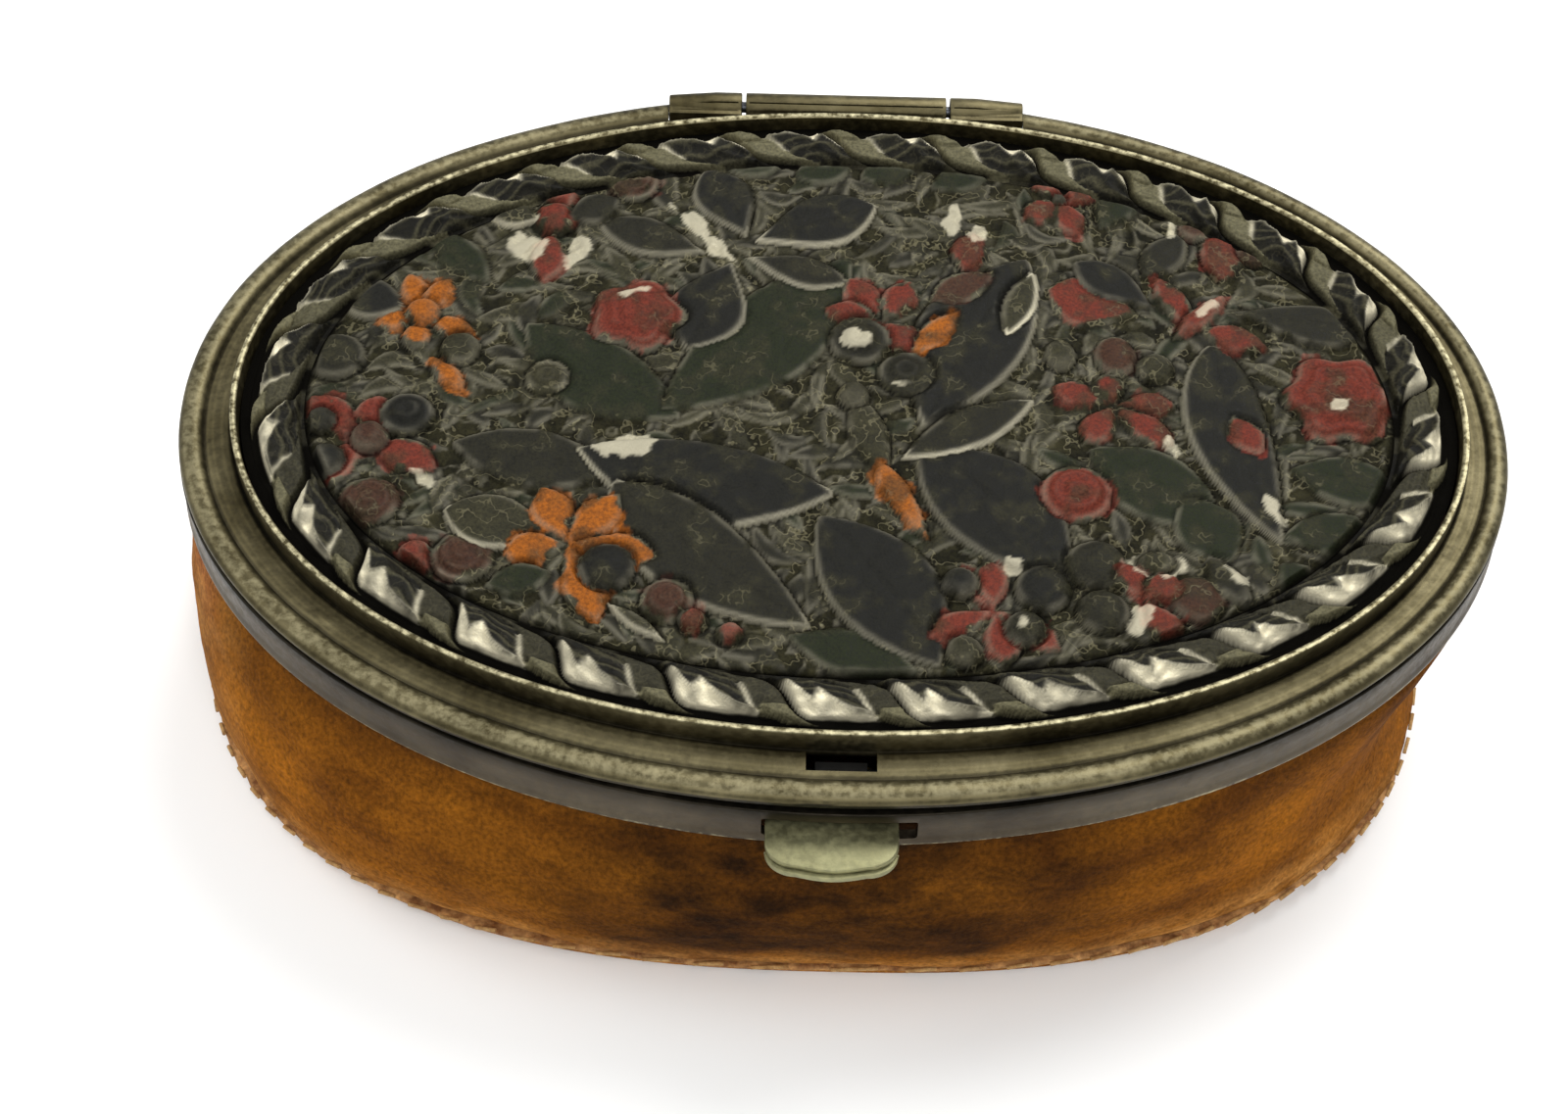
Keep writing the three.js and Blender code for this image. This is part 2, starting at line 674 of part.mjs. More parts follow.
// Catch lever: tab and hem outside, leg and nose inside
function makeCatchLever() {
  const plateTop = -tabDrop + tabSheet;
  const upper = plateFrom(tabShape(tabReach), -tabDrop, tabSheet);
  const hemKeep = boxBetween(
    [-tabWidth, frontY(bandOuter) - tabReach * 2, -tabDrop - tabSheet * 2],
    [tabWidth, frontY(bandOuter) - tabReach + hemDepth, plateTop],
  );
  const fold = tabSheet / 9;
  const hemPlate = plateFrom(tabShape(tabReach + hemReach), -tabDrop - tabSheet, tabSheet + fold);
  const hem = hemPlate.intersect(solidOf(hemKeep));
  const leg = boxBetween(
    [tabOffset - legWidth / 2, frontY(clampInner) - fold, -tabDrop],
    [tabOffset + legWidth / 2, frontY(clampInner - legSheet), plateTop + legRise],
  );
  const noseTop = lidUnderside - noseDrop;
  const hook = boxBetween(
    [-keeperLength / 2, frontY(clampInner), plateTop],
    [keeperLength / 2, frontY(clampInner - legSheet), noseTop],
  );
  const nose = boxBetween(
    [-keeperLength / 2, frontY(clampInner + noseReach), noseTop - noseSheet],
    [keeperLength / 2, frontY(clampInner - legSheet), noseTop],
  );
  let lever = upper.add(hem).add(solidOf(leg)).add(solidOf(hook)).add(solidOf(nose));
  leverRivetPlaces().forEach((x) => {
    const hole = rivetHole(x, clampInner + legSheet, clampInner - legSheet * 4, leverRivetHeight());
    lever = lever.subtract(hole);
  });
  return surfaceOf(lever);
}

// Spring, its foot block and the rivets
const springOuter = clampInner - legSheet - seatGap / 1.5;
const springInner = springOuter - springSheet;
const springTop = -tabDrop + tabSheet + legRise - seatGap / 1.5;

function leverRivetPlaces() {
  const reach = legWidth / 2 - rivetInset;
  return [tabOffset - reach, tabOffset + reach];
}

function leverRivetHeight() {
  return -tabDrop + tabSheet + leverRivetRise;
}

function footRivetPlaces() {
  return [-springLeft + rivetHeadRadius * 1.7, -springLeft + springFootLength - rivetHeadRadius * 1.9];
}

function footHeight() {
  return springTop - springWidth / 2;
}

function rivetHole(x, outerOffset, innerOffset, height) {
  const [from, to] = [frontY(outerOffset, x), frontY(innerOffset, x)];
  const hole = rod(rivetHoleRadius, to - from, 'y', 10);
  hole.translate(x, (from + to) / 2, height);
  return solidOf(hole);
}

function makeRivet(x, tail, face, height) {
  const [from, to] = [frontY(tail, x), frontY(face, x)];
  const sunk = rivetHeadHeight / 3;
  const shank = rod(rivetRadius, to - from + sunk, 'y', 10);
  shank.translate(x, (from + to + sunk) / 2, height);
  const points = [0, 40].map((degrees) => {
    const angle = THREE.MathUtils.degToRad(degrees);
    return new THREE.Vector2(rivetHeadRadius * Math.cos(angle), rivetHeadHeight * Math.sin(angle));
  });
  const middle = [0, rivetHeadHeight].map((along) => new THREE.Vector2(0, along));
  const head = new THREE.LatheGeometry([middle[0], ...points, middle[1]], 10);
  head.translate(x, to, height);
  return surfaceOf(solidOf(shank).add(solidOf(head)));
}

function makeSpring() {
  const low = springTop - springWidth;
  let strip = solidOf(frontStrip(springOuter, springInner, -springLeft, springRight, low, springTop));
  const holes = [
    ...leverRivetPlaces().map((x) => [x, leverRivetHeight()]),
    ...footRivetPlaces().map((x) => [x, footHeight()]),
  ];
  holes.forEach(([x, height]) => {
    strip = strip.subtract(rivetHole(x, springOuter + springSheet, springInner - springSheet, height));
  });
  return surfaceOf(strip);
}

function makeSpringBlock() {
  const outer = clampInner - seatGap;
  const inner = springOuter + rivetGap;
  const right = -springLeft + springFootLength;
  const low = springTop - springWidth;
  let block = solidOf(frontStrip(outer, inner, -springLeft, right, low, springTop - rivetGap * 2));
  footRivetPlaces().forEach((x) => {
    block = block.subtract(rivetHole(x, outer + springSheet, inner - springSheet, footHeight()));
  });
  return surfaceOf(block);
}

// Pouch: heights are measured from the table
const pouchWallBottom = leather + welt + seatGap;
const pouchTop = beadHeight + leatherTop;
const ringMouth = beadHeight + bandBottom;

// A point of the pouch at a height: squarer towards its foot, swollen in front, and drawn in where its
// right-hand end is slack
function pouchPoint(turn, offset, height) {
  const rise = THREE.MathUtils.clamp((height - pouchWallBottom) / (ringMouth - pouchWallBottom), 0, 1);
  const [x, y] = squaredOval(turn, offset, THREE.MathUtils.lerp(pouchSquareness, 2, rise ** 1.3));
  const low = Math.min(1, rise / slackTop);
  const waist = Math.sin(Math.PI * low);
  const drawnIn = x > 0 ? (slackFoot * (1 - low) + slackWaist * waist) / lidHalfLength : 0;
  const swell = y < 0 ? pouchFrontSwell * waist / lidHalfWidth : 0;
  return [x * (1 - drawnIn), y * (1 + swell)];
}

// The wall's face at a depth inside the leather, from the welt up into the base ring
function pouchFace(inward) {
  const span = ringMouth - pouchWallBottom;
  return [
    [pouchFootOffset - pouchFootRoll, 0],
    [pouchFootOffset + pouchFootRoll, 0.06],
    [pouchBulge * 0.95, 0.2],
    [pouchBulge, 0.42],
    [pouchBulge * 0.7, 0.64],
    [pouchBulge * 0.05, 0.84],
    [leatherOuter, 0.98],
  ].map(([offset, rise]) => [offset - inward, pouchWallBottom + span * rise]);
}

function makePouchWall() {
  const outer = [...pouchFace(0), [leatherOuter, pouchTop]];
  const inner = [...pouchFace(leather), [leatherInner, pouchTop]];
  const wall = solidOf(ovalRing([...outer, ...inner.reverse()], pouchPoint));
  return surfaceOf(wall.subtract(catchNotch().translate([0, 0, beadHeight])));
}

function makePouchBase() {
  const edge = pouchFootOffset - pouchFootRoll / 2;
  return ovalPlate([
    [0, edge, leather],
    [1, edge - leather / 8, leather],
    [1, edge, leather * 0.75],
    [1, edge - pouchFootRoll, leather * 0.3],
    [1, edge - leather, 0],
    [0, edge, 0],
  ], pouchPoint);
}

function makeSeamWelt() {
  const bottom = leather + seatGap / 3;
  const edge = pouchFootOffset + pouchFootRoll;
  return ovalRing([
    [edge - welt / 5, bottom],
    [edge, bottom + welt / 2],
    [edge - welt / 5, bottom + welt],
    [pouchFootOffset - leather, bottom + welt],
    [pouchFootOffset - leather, bottom],
  ], pouchPoint);
}

// The lining is a cup that stands off the leather by the seat gap and is open at the clamp ring
function makePouchLining() {
  const top = beadHeight + leatherTop - clampHeight - seatGap;
  const floor = leather + seatGap;
  const floorTop = floor + pouchLining;
  const wall = (inward, lowest) => pouchFace(leather + seatGap + inward)
    .filter(([, height]) => height > lowest && height < top - pouchLining);
  const corner = pouchFootOffset - leather * 1.7 - seatGap;
  const profile = [
    [0, 0, floor],
    [1, corner, floor],
    [1, corner + pouchLining, floor + welt + pouchLining],
    ...wall(0, floor + welt * 3).map(([offset, height]) => [1, offset, height]),
    [1, clampOuter, top],
    [1, clampOuter - pouchLining, top],
    ...wall(pouchLining, floor + welt * 3).reverse().map(([offset, height]) => [1, offset, height]),
    [1, corner - pouchLining / 3, floorTop + pouchLining],
    [1, corner - pouchLining * 1.2, floorTop],
    [0, 0, floorTop],
  ];
  return ovalPlate(profile, pouchPoint);
}

// The frame is built about the bead's centre, and the pouch from the table up
const frame = new THREE.Group();
frame.position.z = beadHeight;
const backplateBottom = panelLevel - panelSheet - backplateSheet - backplateGap;
frame.add(piece('lid_rim', makeLidRim(), whiteMetal));
frame.add(piece('lid_panel', makePanel(), darkMetal));
frame.add(piece('lid_backplate', ovalSheet(panelEdge, backplateBottom, backplateSheet), backMetal));
frame.add(piece('lid_lining', ovalSheet(panelEdge, lidUnderside, liningSheet), kidLining));
frame.add(piece('lid_knuckle_left', makeLidKnuckle(-1), whiteMetal));
frame.add(piece('lid_knuckle_right', makeLidKnuckle(1), whiteMetal));
frame.add(piece('base_ring', makeBaseRing(), whiteMetal));
frame.add(piece('clamp_ring', makeClampRing(), backMetal));
frame.add(piece('base_knuckle', makeBaseKnuckle(), whiteMetal));
frame.add(piece('hinge_pin', makeHingePin(), springSteel));
frame.add(piece('catch_lever', makeCatchLever(), tabMetal));
frame.add(piece('catch_spring', makeSpring(), springSteel));
frame.add(piece('spring_block', makeSpringBlock(), brass));
leverRivetPlaces().forEach((x, i) => {
  const name = ['lever_rivet_left', 'lever_rivet_right'][i];
  const rivet = makeRivet(x, clampInner - rivetGap, springInner - solderGap, leverRivetHeight());
  frame.add(piece(name, rivet, brass));
});
footRivetPlaces().forEach((x, i) => {
  const name = ['foot_rivet_left', 'foot_rivet_right'][i];
  const rivet = makeRivet(x, clampOuter - rivetGap, springInner - footRivetPlay, footHeight());
  frame.add(piece(name, rivet, brass));
});

const pouch = new THREE.Group();
pouch.add(piece('pouch_wall', makePouchWall(), tanLeather));
pouch.add(piece('pouch_base', makePouchBase(), tanLeather));
pouch.add(piece('seam_welt', makeSeamWelt(), paleLeather));
pouch.add(piece('pouch_lining', makePouchLining(), kidLining));

// The origin lies under the middle of the part's reach, on the table
const purse = new THREE.Group();
purse.position.set((leftReach - rightReach) / 2, (frontReach - backReach) / 2, 0);
purse.add(frame);
purse.add(pouch);

export default purse;
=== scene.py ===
"""Oval trinket purse: a pressed white-metal lid and frame on a small suede pouch.

Shapes are modelled in millimetres about the centre of the lid's bead, and set down in metres where the
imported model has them. The lid, the base and the thumb catch each ride on their own body.
"""

import logging
import math
from dataclasses import dataclass
from enum import Enum
from typing import Callable, Optional, Sequence

import bmesh
import bpy
import numpy as np
from mathutils import Matrix, Vector, noise


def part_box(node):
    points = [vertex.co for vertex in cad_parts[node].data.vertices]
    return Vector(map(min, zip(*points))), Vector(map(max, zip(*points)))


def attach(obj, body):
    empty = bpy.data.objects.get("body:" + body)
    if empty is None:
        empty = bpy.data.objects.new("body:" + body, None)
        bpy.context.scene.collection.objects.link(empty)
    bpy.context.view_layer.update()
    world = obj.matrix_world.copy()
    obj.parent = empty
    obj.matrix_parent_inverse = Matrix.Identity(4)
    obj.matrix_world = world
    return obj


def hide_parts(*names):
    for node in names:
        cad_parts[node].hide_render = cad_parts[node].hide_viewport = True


MM = 0.001

# The lid's oval is measured along its bead. Offsets in this file run outwards from that oval.
HALF_LENGTH = 44.0
HALF_WIDTH = 30.0
COLLAR_RISE = 1.7
COLLAR_INSET = 3.2
COLLAR_SHIFT = (0.35, 0.22)
LID_SQUARENESS = 2.05
LID_END_DRAW = 0.45

# The panel and its rope border
PANEL_EDGE = -3.8
PANEL_LEVEL = 0.9
PANEL_SHEET = 0.5
ROPE_SPAN = 4.15
ROPE_MIDDLE = 2.2
ROPE_HALF_WIDTH = 1.6
ROPE_HEIGHT = 1.1
ROPE_STRANDS = 28

# The base ring's outer face, the clamp ring's inner face and the lever's back, and the notch for the lever
BAND_FACE = 0.2
CLAMP_FACE = -2.6
LEVER_BACK = -3.05
NOTCH_HALF = 5.05
NOTCH_BOTTOM = -4.0

# The pouch
POUCH_BOTTOM = -20.15
POUCH_MOUTH = -4.8
POUCH_SQUARENESS = 2.55
FRONT_SWELL = 1.15
SLACK_FOOT = 2.9
SLACK_WAIST = 3.85
SLACK_TOP = 0.9

# The hinge's axis
HINGE_Y = 28.9
HINGE_Z = 0.2

# How the meshes are made
RING_STEPS = 288
PLATE_STEPS = 240
WELD = 1e-5
CRISP_DEGREES = 38.0
BEYOND = 45.0
NOISE_CELLS = 256

log = logging.getLogger("purse")

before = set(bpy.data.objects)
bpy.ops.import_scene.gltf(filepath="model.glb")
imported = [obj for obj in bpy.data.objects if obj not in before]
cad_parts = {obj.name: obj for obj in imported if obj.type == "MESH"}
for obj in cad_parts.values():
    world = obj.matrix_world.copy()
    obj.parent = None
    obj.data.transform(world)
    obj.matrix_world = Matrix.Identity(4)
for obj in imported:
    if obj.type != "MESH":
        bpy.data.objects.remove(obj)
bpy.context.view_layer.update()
LID_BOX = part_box("lid_rim")
RING_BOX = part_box("clamp_ring")
CENTRE = Vector(
    (
        (RING_BOX[0].x + RING_BOX[1].x) / 2 / MM,
        (RING_BOX[0].y + RING_BOX[1].y) / 2 / MM,
        LID_BOX[1].z / MM - COLLAR_RISE,
    )
)

Point = tuple[float, float]
Profile = Sequence[Point]
Colour = tuple[float, float, float, float]
Mesh = bmesh.types.BMesh
Piece = bpy.types.Object
Finish = bpy.types.Material
Tree = bpy.types.NodeTree
Socket = bpy.types.NodeSocket
Places = tuple[np.ndarray, np.ndarray]
PlaceAt = Callable[[np.ndarray, np.ndarray, np.ndarray], Places]


def linear(hex_colour: str, alpha: float = 1.0) -> Colour:
    """Turns an sRGB hex colour to the linear values that Blender's sockets take.

    Args:
        hex_colour: Six hex digits after a hash.
        alpha: The fourth value.

    Returns:
        Red, green, blue and alpha, linear.
    """
    values = [int(hex_colour[i : i + 2], 16) / 255 for i in (1, 3, 5)]
    bent = [v / 12.92 if v <= 0.04045 else ((v + 0.055) / 1.055) ** 2.4 for v in values]
    return bent[0], bent[1], bent[2], alpha


def add_node(tree: Tree, kind: str, inputs: Optional[dict] = None, **settings: object) -> bpy.types.Node:
    """Adds a node with its settings, socket values and links.

    Args:
        tree: The node tree.
        kind: The node's type name.
        inputs: Socket name or number to a value, or to a socket to link from.
        **settings: The node's own settings.

    Returns:
        The new node.
    """
    node = tree.nodes.new(kind)
    for key, value in settings.items():
        setattr(node, key, value)
    for key, value in (inputs or {}).items():
        if isinstance(value, Socket):
            tree.links.new(value, node.inputs[key])
        else:
            node.inputs[key].default_value = value
    return node


def ramp(tree: Tree, source: Socket, stops: Sequence[tuple[float, float | str]]) -> Socket:
    """Sends a value through a colour ramp.

    Args:
        tree: The node tree.
        source: The value.
        stops: Positions, each with a grey level or a hex colour.

    Returns:
        The ramp's colour socket.
    """
    node = add_node(tree, "ShaderNodeValToRGB", {"Fac": source})
    elements = node.color_ramp.elements
    while len(elements) < len(stops):
        elements.new(0.5)
    for element, (position, value) in zip(elements, stops):
        element.position = position
        element.color = linear(value) if isinstance(value, str) else (value, value, value, 1.0)
    return node.outputs["Color"]


def mix(
    tree: Tree, factor: Socket | float, first: Socket | Colour, second: Socket | Colour, blend: str = "MIX"
) -> Socket:
    """Mixes two colours.

    Args:
        tree: The node tree.
        factor: A value or socket from 0, the first, to 1, the second.
        first: A colour or socket.
        second: A colour or socket.
        blend: The way they are mixed.

    Returns:
        The mixed colour's socket.
    """
    inputs = {0: factor, 6: first, 7: second}
    return add_node(tree, "ShaderNodeMix", inputs, data_type="RGBA", blend_type=blend).outputs[2]


def new_material(name: str) -> tuple[Finish, Tree, bpy.types.Node]:
    """Makes a material with an empty Principled shader.

    Args:
        name: The material's name.

    Returns:
        The material, its node tree and the shader node.
    """
    material = bpy.data.materials.new(name)
    material.use_nodes = True
    tree = material.node_tree
    shader = next(node for node in tree.nodes if node.type == "BSDF_PRINCIPLED")
    return material, tree, shader


def grain(tree: Tree, size_mm: float, detail: float, stretch: Sequence[float] = (1, 1, 1)) -> Socket:
    """Noise of a real size on the piece's own coordinates.

    Args:
        tree: The node tree.
        size_mm: The width of one patch.
        detail: How many finer layers it has.
        stretch: How much finer it is along each axis.

    Returns:
        The noise value's socket.
    """
    coordinate = add_node(tree, "ShaderNodeTexCoord").outputs["Object"]
    placed = add_node(tree, "ShaderNodeMapping", {"Vector": coordinate, "Scale": tuple(stretch)})
    inputs = {
        "Vector": placed.outputs["Vector"],
        "Scale": 1 / (size_mm * MM),
        "Detail": detail,
        "Roughness": 0.6,
    }
    return add_node(tree, "ShaderNodeTexNoise", inputs).outputs["Fac"]


@dataclass(frozen=True)
class WornWhiteMetal:
    """Nickel silver, pressed and once polished.

    It has dulled to a cloudy grey-olive with darker spots and fine scratches. Where its vertex attribute is
    over 0 it carries painted shade, with some grime; where it is below 0 it carries a painted highlight on
    rubbed metal.
    """

    name: str = "worn_white_metal"
    bright: str = "#6c6449"
    tarnish: str = "#463f28"
    stain: str = "#241e12"
    roughness: tuple[float, float] = (0.42, 0.62)
    stain_share: float = 0.5
    # Near black, for painted shade and some grime
    grime_and_shade: str = "#1d1a13"
    # Pale cream, for painted highlights on the rubbed metal
    rubbed_and_lit: str = "#c8c09c"
    cloud_mm: float = 7.0
    spot_mm: float = 1.6
    fine_mm: float = 0.55
    scratch_mm: float = 0.3
    bump_mm: float = 0.03

    def build(self) -> Finish:
        """Builds the material.

        Returns:
            The material.
        """
        material, tree, shader = new_material(self.name)
        cloudy = ramp(tree, grain(tree, self.cloud_mm, 6.0), [(0.35, 0.0), (0.68, 1.0)])
        fine = ramp(tree, grain(tree, self.fine_mm, 5.0), [(0.4, 0.0), (0.7, 1.0)])
        share = self.stain_share
        spots = ramp(tree, grain(tree, self.spot_mm, 8.0), [(share + 0.1, 0.0), (share + 0.24, 1.0)])
        body = mix(tree, cloudy, linear(self.tarnish), linear(self.bright))
        body = mix(tree, 0.22, body, fine, "OVERLAY")
        spotted = add_node(tree, "ShaderNodeMath", {0: spots, 1: 0.55}, operation="MULTIPLY").outputs[0]
        body = mix(tree, spotted, body, linear(self.stain))
        # Over 0 the vertex attribute paints shade in gaps and grooves, with some grime; below 0 a highlight.
        grime_shade_and_highlight = add_node(tree, "ShaderNodeAttribute", attribute_name="grime_shade_and_highlight").outputs["Fac"]
        patchy = add_node(tree, "ShaderNodeMapRange", {"Value": cloudy, "To Min": 1.0, "To Max": 0.7})
        shaded_and_grimed = {0: grime_shade_and_highlight, 1: patchy.outputs[0]}
        deep = add_node(tree, "ShaderNodeMath", shaded_and_grimed, operation="MULTIPLY", use_clamp=True)
        body = mix(tree, deep.outputs[0], body, linear(self.grime_and_shade))
        # Where the attribute is below 0: a painted highlight on the rubbed metal
        highlight_and_rub = add_node(tree, "ShaderNodeMath", {0: grime_shade_and_highlight, 1: -1.0}, operation="MULTIPLY", use_clamp=True)
        lit_and_polished = add_node(tree, "ShaderNodeMath", {0: highlight_and_rub.outputs[0], 1: fine}, operation="MULTIPLY")
        body = mix(tree, lit_and_polished.outputs[0], body, linear(self.rubbed_and_lit))
        tree.links.new(body, shader.inputs["Base Color"])
        low, high = self.roughness
        rough = add_node(tree, "ShaderNodeMapRange", {"Value": fine, "To Min": low, "To Max": high})
        tree.links.new(rough.outputs["Result"], shader.inputs["Roughness"])
        scratches = grain(tree, self.scratch_mm, 3.0, (0.25, 1.6, 1.0))
        uneven = {"Height": mix(tree, 0.5, scratches, fine), "Distance": self.bump_mm * MM, "Strength": 0.5}
        bump = add_node(tree, "ShaderNodeBump", uneven)
        tree.links.new(bump.outputs["Normal"], shader.inputs["Normal"])
        shader.inputs["Metallic"].default_value = 0.92
        return material


@dataclass(frozen=True)
class PaintedRelief:
    """Pressed metal under a dark patina, with paint rubbed into the relief and the ridges worn bright.

    The eye sees dull colour in the forms, pale lines chased into the bare ground between them, and black in
    every cut, which is patina and painted shadow. Bright cream shows wear and painted highlights. The paint,
    wear and highlight, and grime and shade attributes say where each lies.
    """

    name: str = "painted_relief"
    patina: tuple[str, str] = ("#1b1a11", "#383522")
    # Black, for patina and grime in the cuts and for painted shade
    hollow: str = "#0b0a08"
    # Bright cream, for wear and for painted highlights
    worn_and_lit: str = "#e9e0c2"
    chased: str = "#8a8364"
    cloud_mm: float = 1.3
    fine_mm: float = 0.22
    chased_mm: float = 1.7
    bump_mm: float = 0.06

    def build(self) -> Finish:
        """Builds the material from the panel's own attributes.

        Returns:
            The material.
        """
        material, tree, shader = new_material(self.name)
        paint = add_node(tree, "ShaderNodeAttribute", attribute_name="paint")
        wear_and_highlight = add_node(tree, "ShaderNodeAttribute", attribute_name="wear_and_highlight").outputs["Fac"]
        grime_and_shade = add_node(tree, "ShaderNodeAttribute", attribute_name="grime_and_shade").outputs["Fac"]
        cloudy = ramp(tree, grain(tree, self.cloud_mm, 7.0), [(0.36, 0.0), (0.66, 1.0)])
        fine = ramp(tree, grain(tree, self.fine_mm, 4.0), [(0.36, 0.0), (0.66, 1.0)])
        bare = mix(tree, cloudy, linear(self.patina[0]), linear(self.patina[1]))
        body = mix(tree, paint.outputs["Alpha"], bare, paint.outputs["Color"])
        body = mix(tree, 0.35, body, fine, "OVERLAY")
        cover = {"Value": paint.outputs["Alpha"], "From Min": 0.45, "From Max": 0.85}
        open_ground = add_node(tree, "ShaderNodeMapRange", {**cover, "To Min": 0.4, "To Max": 0.0})
        contours = grain(tree, self.chased_mm, 2.5)
        for level, colour in ((0.5, self.chased), (0.535, self.hollow)):
            away = add_node(tree, "ShaderNodeMath", {0: contours, 1: level}, operation="SUBTRACT")
            away = add_node(tree, "ShaderNodeMath", {0: away.outputs[0]}, operation="ABSOLUTE")
            near = {"Value": away.outputs[0], "From Min": 0.006, "From Max": 0.02}
            line = add_node(tree, "ShaderNodeMapRange", {**near, "To Min": 1.0, "To Max": 0.0})
            on_ground = {0: line.outputs[0], 1: open_ground.outputs[0]}
            drawn = add_node(tree, "ShaderNodeMath", on_ground, operation="MULTIPLY")
            body = mix(tree, drawn.outputs[0], body, linear(colour))
        # Painted shade goes black with the grime, and painted highlights go bright cream with the wear
        body = mix(tree, grime_and_shade, body, linear(self.hollow))
        body = mix(tree, wear_and_highlight, body, linear(self.worn_and_lit))
        tree.links.new(body, shader.inputs["Base Color"])
        unpainted = {"Value": paint.outputs["Alpha"], "To Min": 0.5, "To Max": 0.0}
        clean = add_node(tree, "ShaderNodeMapRange", unpainted)
        metal = add_node(tree, "ShaderNodeMix", {0: wear_and_highlight, 2: clean.outputs[0], 3: 0.5})
        tree.links.new(metal.outputs[0], shader.inputs["Metallic"])
        gloss = add_node(tree, "ShaderNodeMapRange", {"Value": grime_and_shade, "To Min": 0.1, "To Max": 0.0})
        tree.links.new(gloss.outputs[0], shader.inputs["Specular IOR Level"])
        rough = add_node(tree, "ShaderNodeMapRange", {"Value": fine, "To Min": 0.5, "To Max": 0.72})
        tree.links.new(rough.outputs["Result"], shader.inputs["Roughness"])
        uneven = {"Height": mix(tree, 0.5, cloudy, fine), "Distance": self.bump_mm * MM, "Strength": 0.6}
        bump = add_node(tree, "ShaderNodeBump", uneven)
        tree.links.new(bump.outputs["Normal"], shader.inputs["Normal"])
        return material


@dataclass(frozen=True)
class Suede:
    """Tan suede: split hide with a short nap, soft and without gloss.

    Its colour is cloudy. It is rubbed pale at its edges and stained dark by handling. It carries painted
    shade in a band under the frame and a painted highlight along its low front.
    """

    name: str = "tan_suede"
    light: str = "#8d5511"
    deep: str = "#5b3309"
    # Near black brown, for the stains and for the painted shade under the frame
    stain: str = "#190d04"
    # Pale tan, for rubbed leather and for the painted highlight on the low front
    rubbed_and_lit: str = "#cf9550"
    blush: str = "#8a4a34"
    cloud_mm: float = 6.0
    patch_mm: float = 2.2
    nap_mm: float = 0.32
    bump_mm: float = 0.12

    def build(self) -> Finish:
        """Builds the material from the pouch's own attributes.

        Returns:
            The material.
        """
        material, tree, shader = new_material(self.name)
        stain = add_node(tree, "ShaderNodeAttribute", attribute_name="stain").outputs["Fac"]
        rub_and_highlight = add_node(tree, "ShaderNodeAttribute", attribute_name="rub_and_highlight").outputs["Fac"]
        blush = add_node(tree, "ShaderNodeAttribute", attribute_name="blush").outputs["Fac"]
        cloudy = ramp(tree, grain(tree, self.cloud_mm, 6.0, (0.7, 0.7, 1.5)), [(0.34, 0.0), (0.66, 1.0)])
        nap = ramp(tree, grain(tree, self.nap_mm, 3.0), [(0.3, 0.0), (0.7, 1.0)])
        patch = ramp(tree, grain(tree, self.patch_mm, 8.0, (0.6, 0.6, 1.4)), [(0.35, 0.0), (0.65, 1.0)])
        body = mix(tree, cloudy, linear(self.deep), linear(self.light))
        body = mix(tree, blush, body, linear(self.blush))
        # The stain attribute darkens with real stains and with painted shade under the frame.
        edge = add_node(tree, "ShaderNodeMath", {0: patch, 1: 0.3, 2: 0.65}, operation="MULTIPLY_ADD")
        stained_and_shaded = {0: stain, 1: edge.outputs[0]}
        dark = add_node(tree, "ShaderNodeMath", stained_and_shaded, operation="MULTIPLY", use_clamp=True)
        body = mix(tree, dark.outputs[0], body, linear(self.stain))
        # The rub attribute pales with rubbing, and with a painted highlight along the low front.
        pale = add_node(tree, "ShaderNodeMath", {0: rub_and_highlight, 1: patch}, operation="MULTIPLY", use_clamp=True)
        body = mix(tree, pale.outputs[0], body, linear(self.rubbed_and_lit))
        body = mix(tree, 0.38, body, nap, "OVERLAY")
        tree.links.new(body, shader.inputs["Base Color"])
        shader.inputs["Roughness"].default_value = 0.95
        shader.inputs["Specular IOR Level"].default_value = 0.08
        uneven = {"Height": mix(tree, 0.35, nap, patch), "Distance": self.bump_mm * MM, "Strength": 0.7}
        bump = add_node(tree, "ShaderNodeBump", uneven)
        tree.links.new(bump.outputs["Normal"], shader.inputs["Normal"])
        return material


@dataclass(frozen=True)
class PlainFinish:
    """A plain finish with patches of two colours, fine grain in its gloss and a little bump."""

    name: str
    first: str
    second: str
    roughness: tuple[float, float]
    metallic: float = 0.0
    patch_mm: float = 2.0
    grain_mm: float = 0.3
    bump_mm: float = 0.03

    def build(self) -> Finish:
        """Builds the material.

        Returns:
            The material.
        """
        material, tree, shader = new_material(self.name)
        patch = ramp(tree, grain(tree, self.patch_mm, 6.0), [(0.35, 0.0), (0.65, 1.0)])
        fine = grain(tree, self.grain_mm, 4.0)
        body = mix(tree, patch, linear(self.first), linear(self.second))
        body = mix(tree, 0.2, body, ramp(tree, fine, [(0.35, 0.0), (0.65, 1.0)]), "OVERLAY")
        tree.links.new(body, shader.inputs["Base Color"])
        low, high = self.roughness
        gloss = {"Value": fine, "From Min": 0.3, "From Max": 0.7, "To Min": low, "To Max": high}
        rough = add_node(tree, "ShaderNodeMapRange", gloss)
        tree.links.new(rough.outputs["Result"], shader.inputs["Roughness"])
        uneven = {"Height": fine, "Distance": self.bump_mm * MM, "Strength": 0.6}
        bump = add_node(tree, "ShaderNodeBump", uneven)
        tree.links.new(bump.outputs["Normal"], shader.inputs["Normal"])
        shader.inputs["Metallic"].default_value = self.metallic
        return material


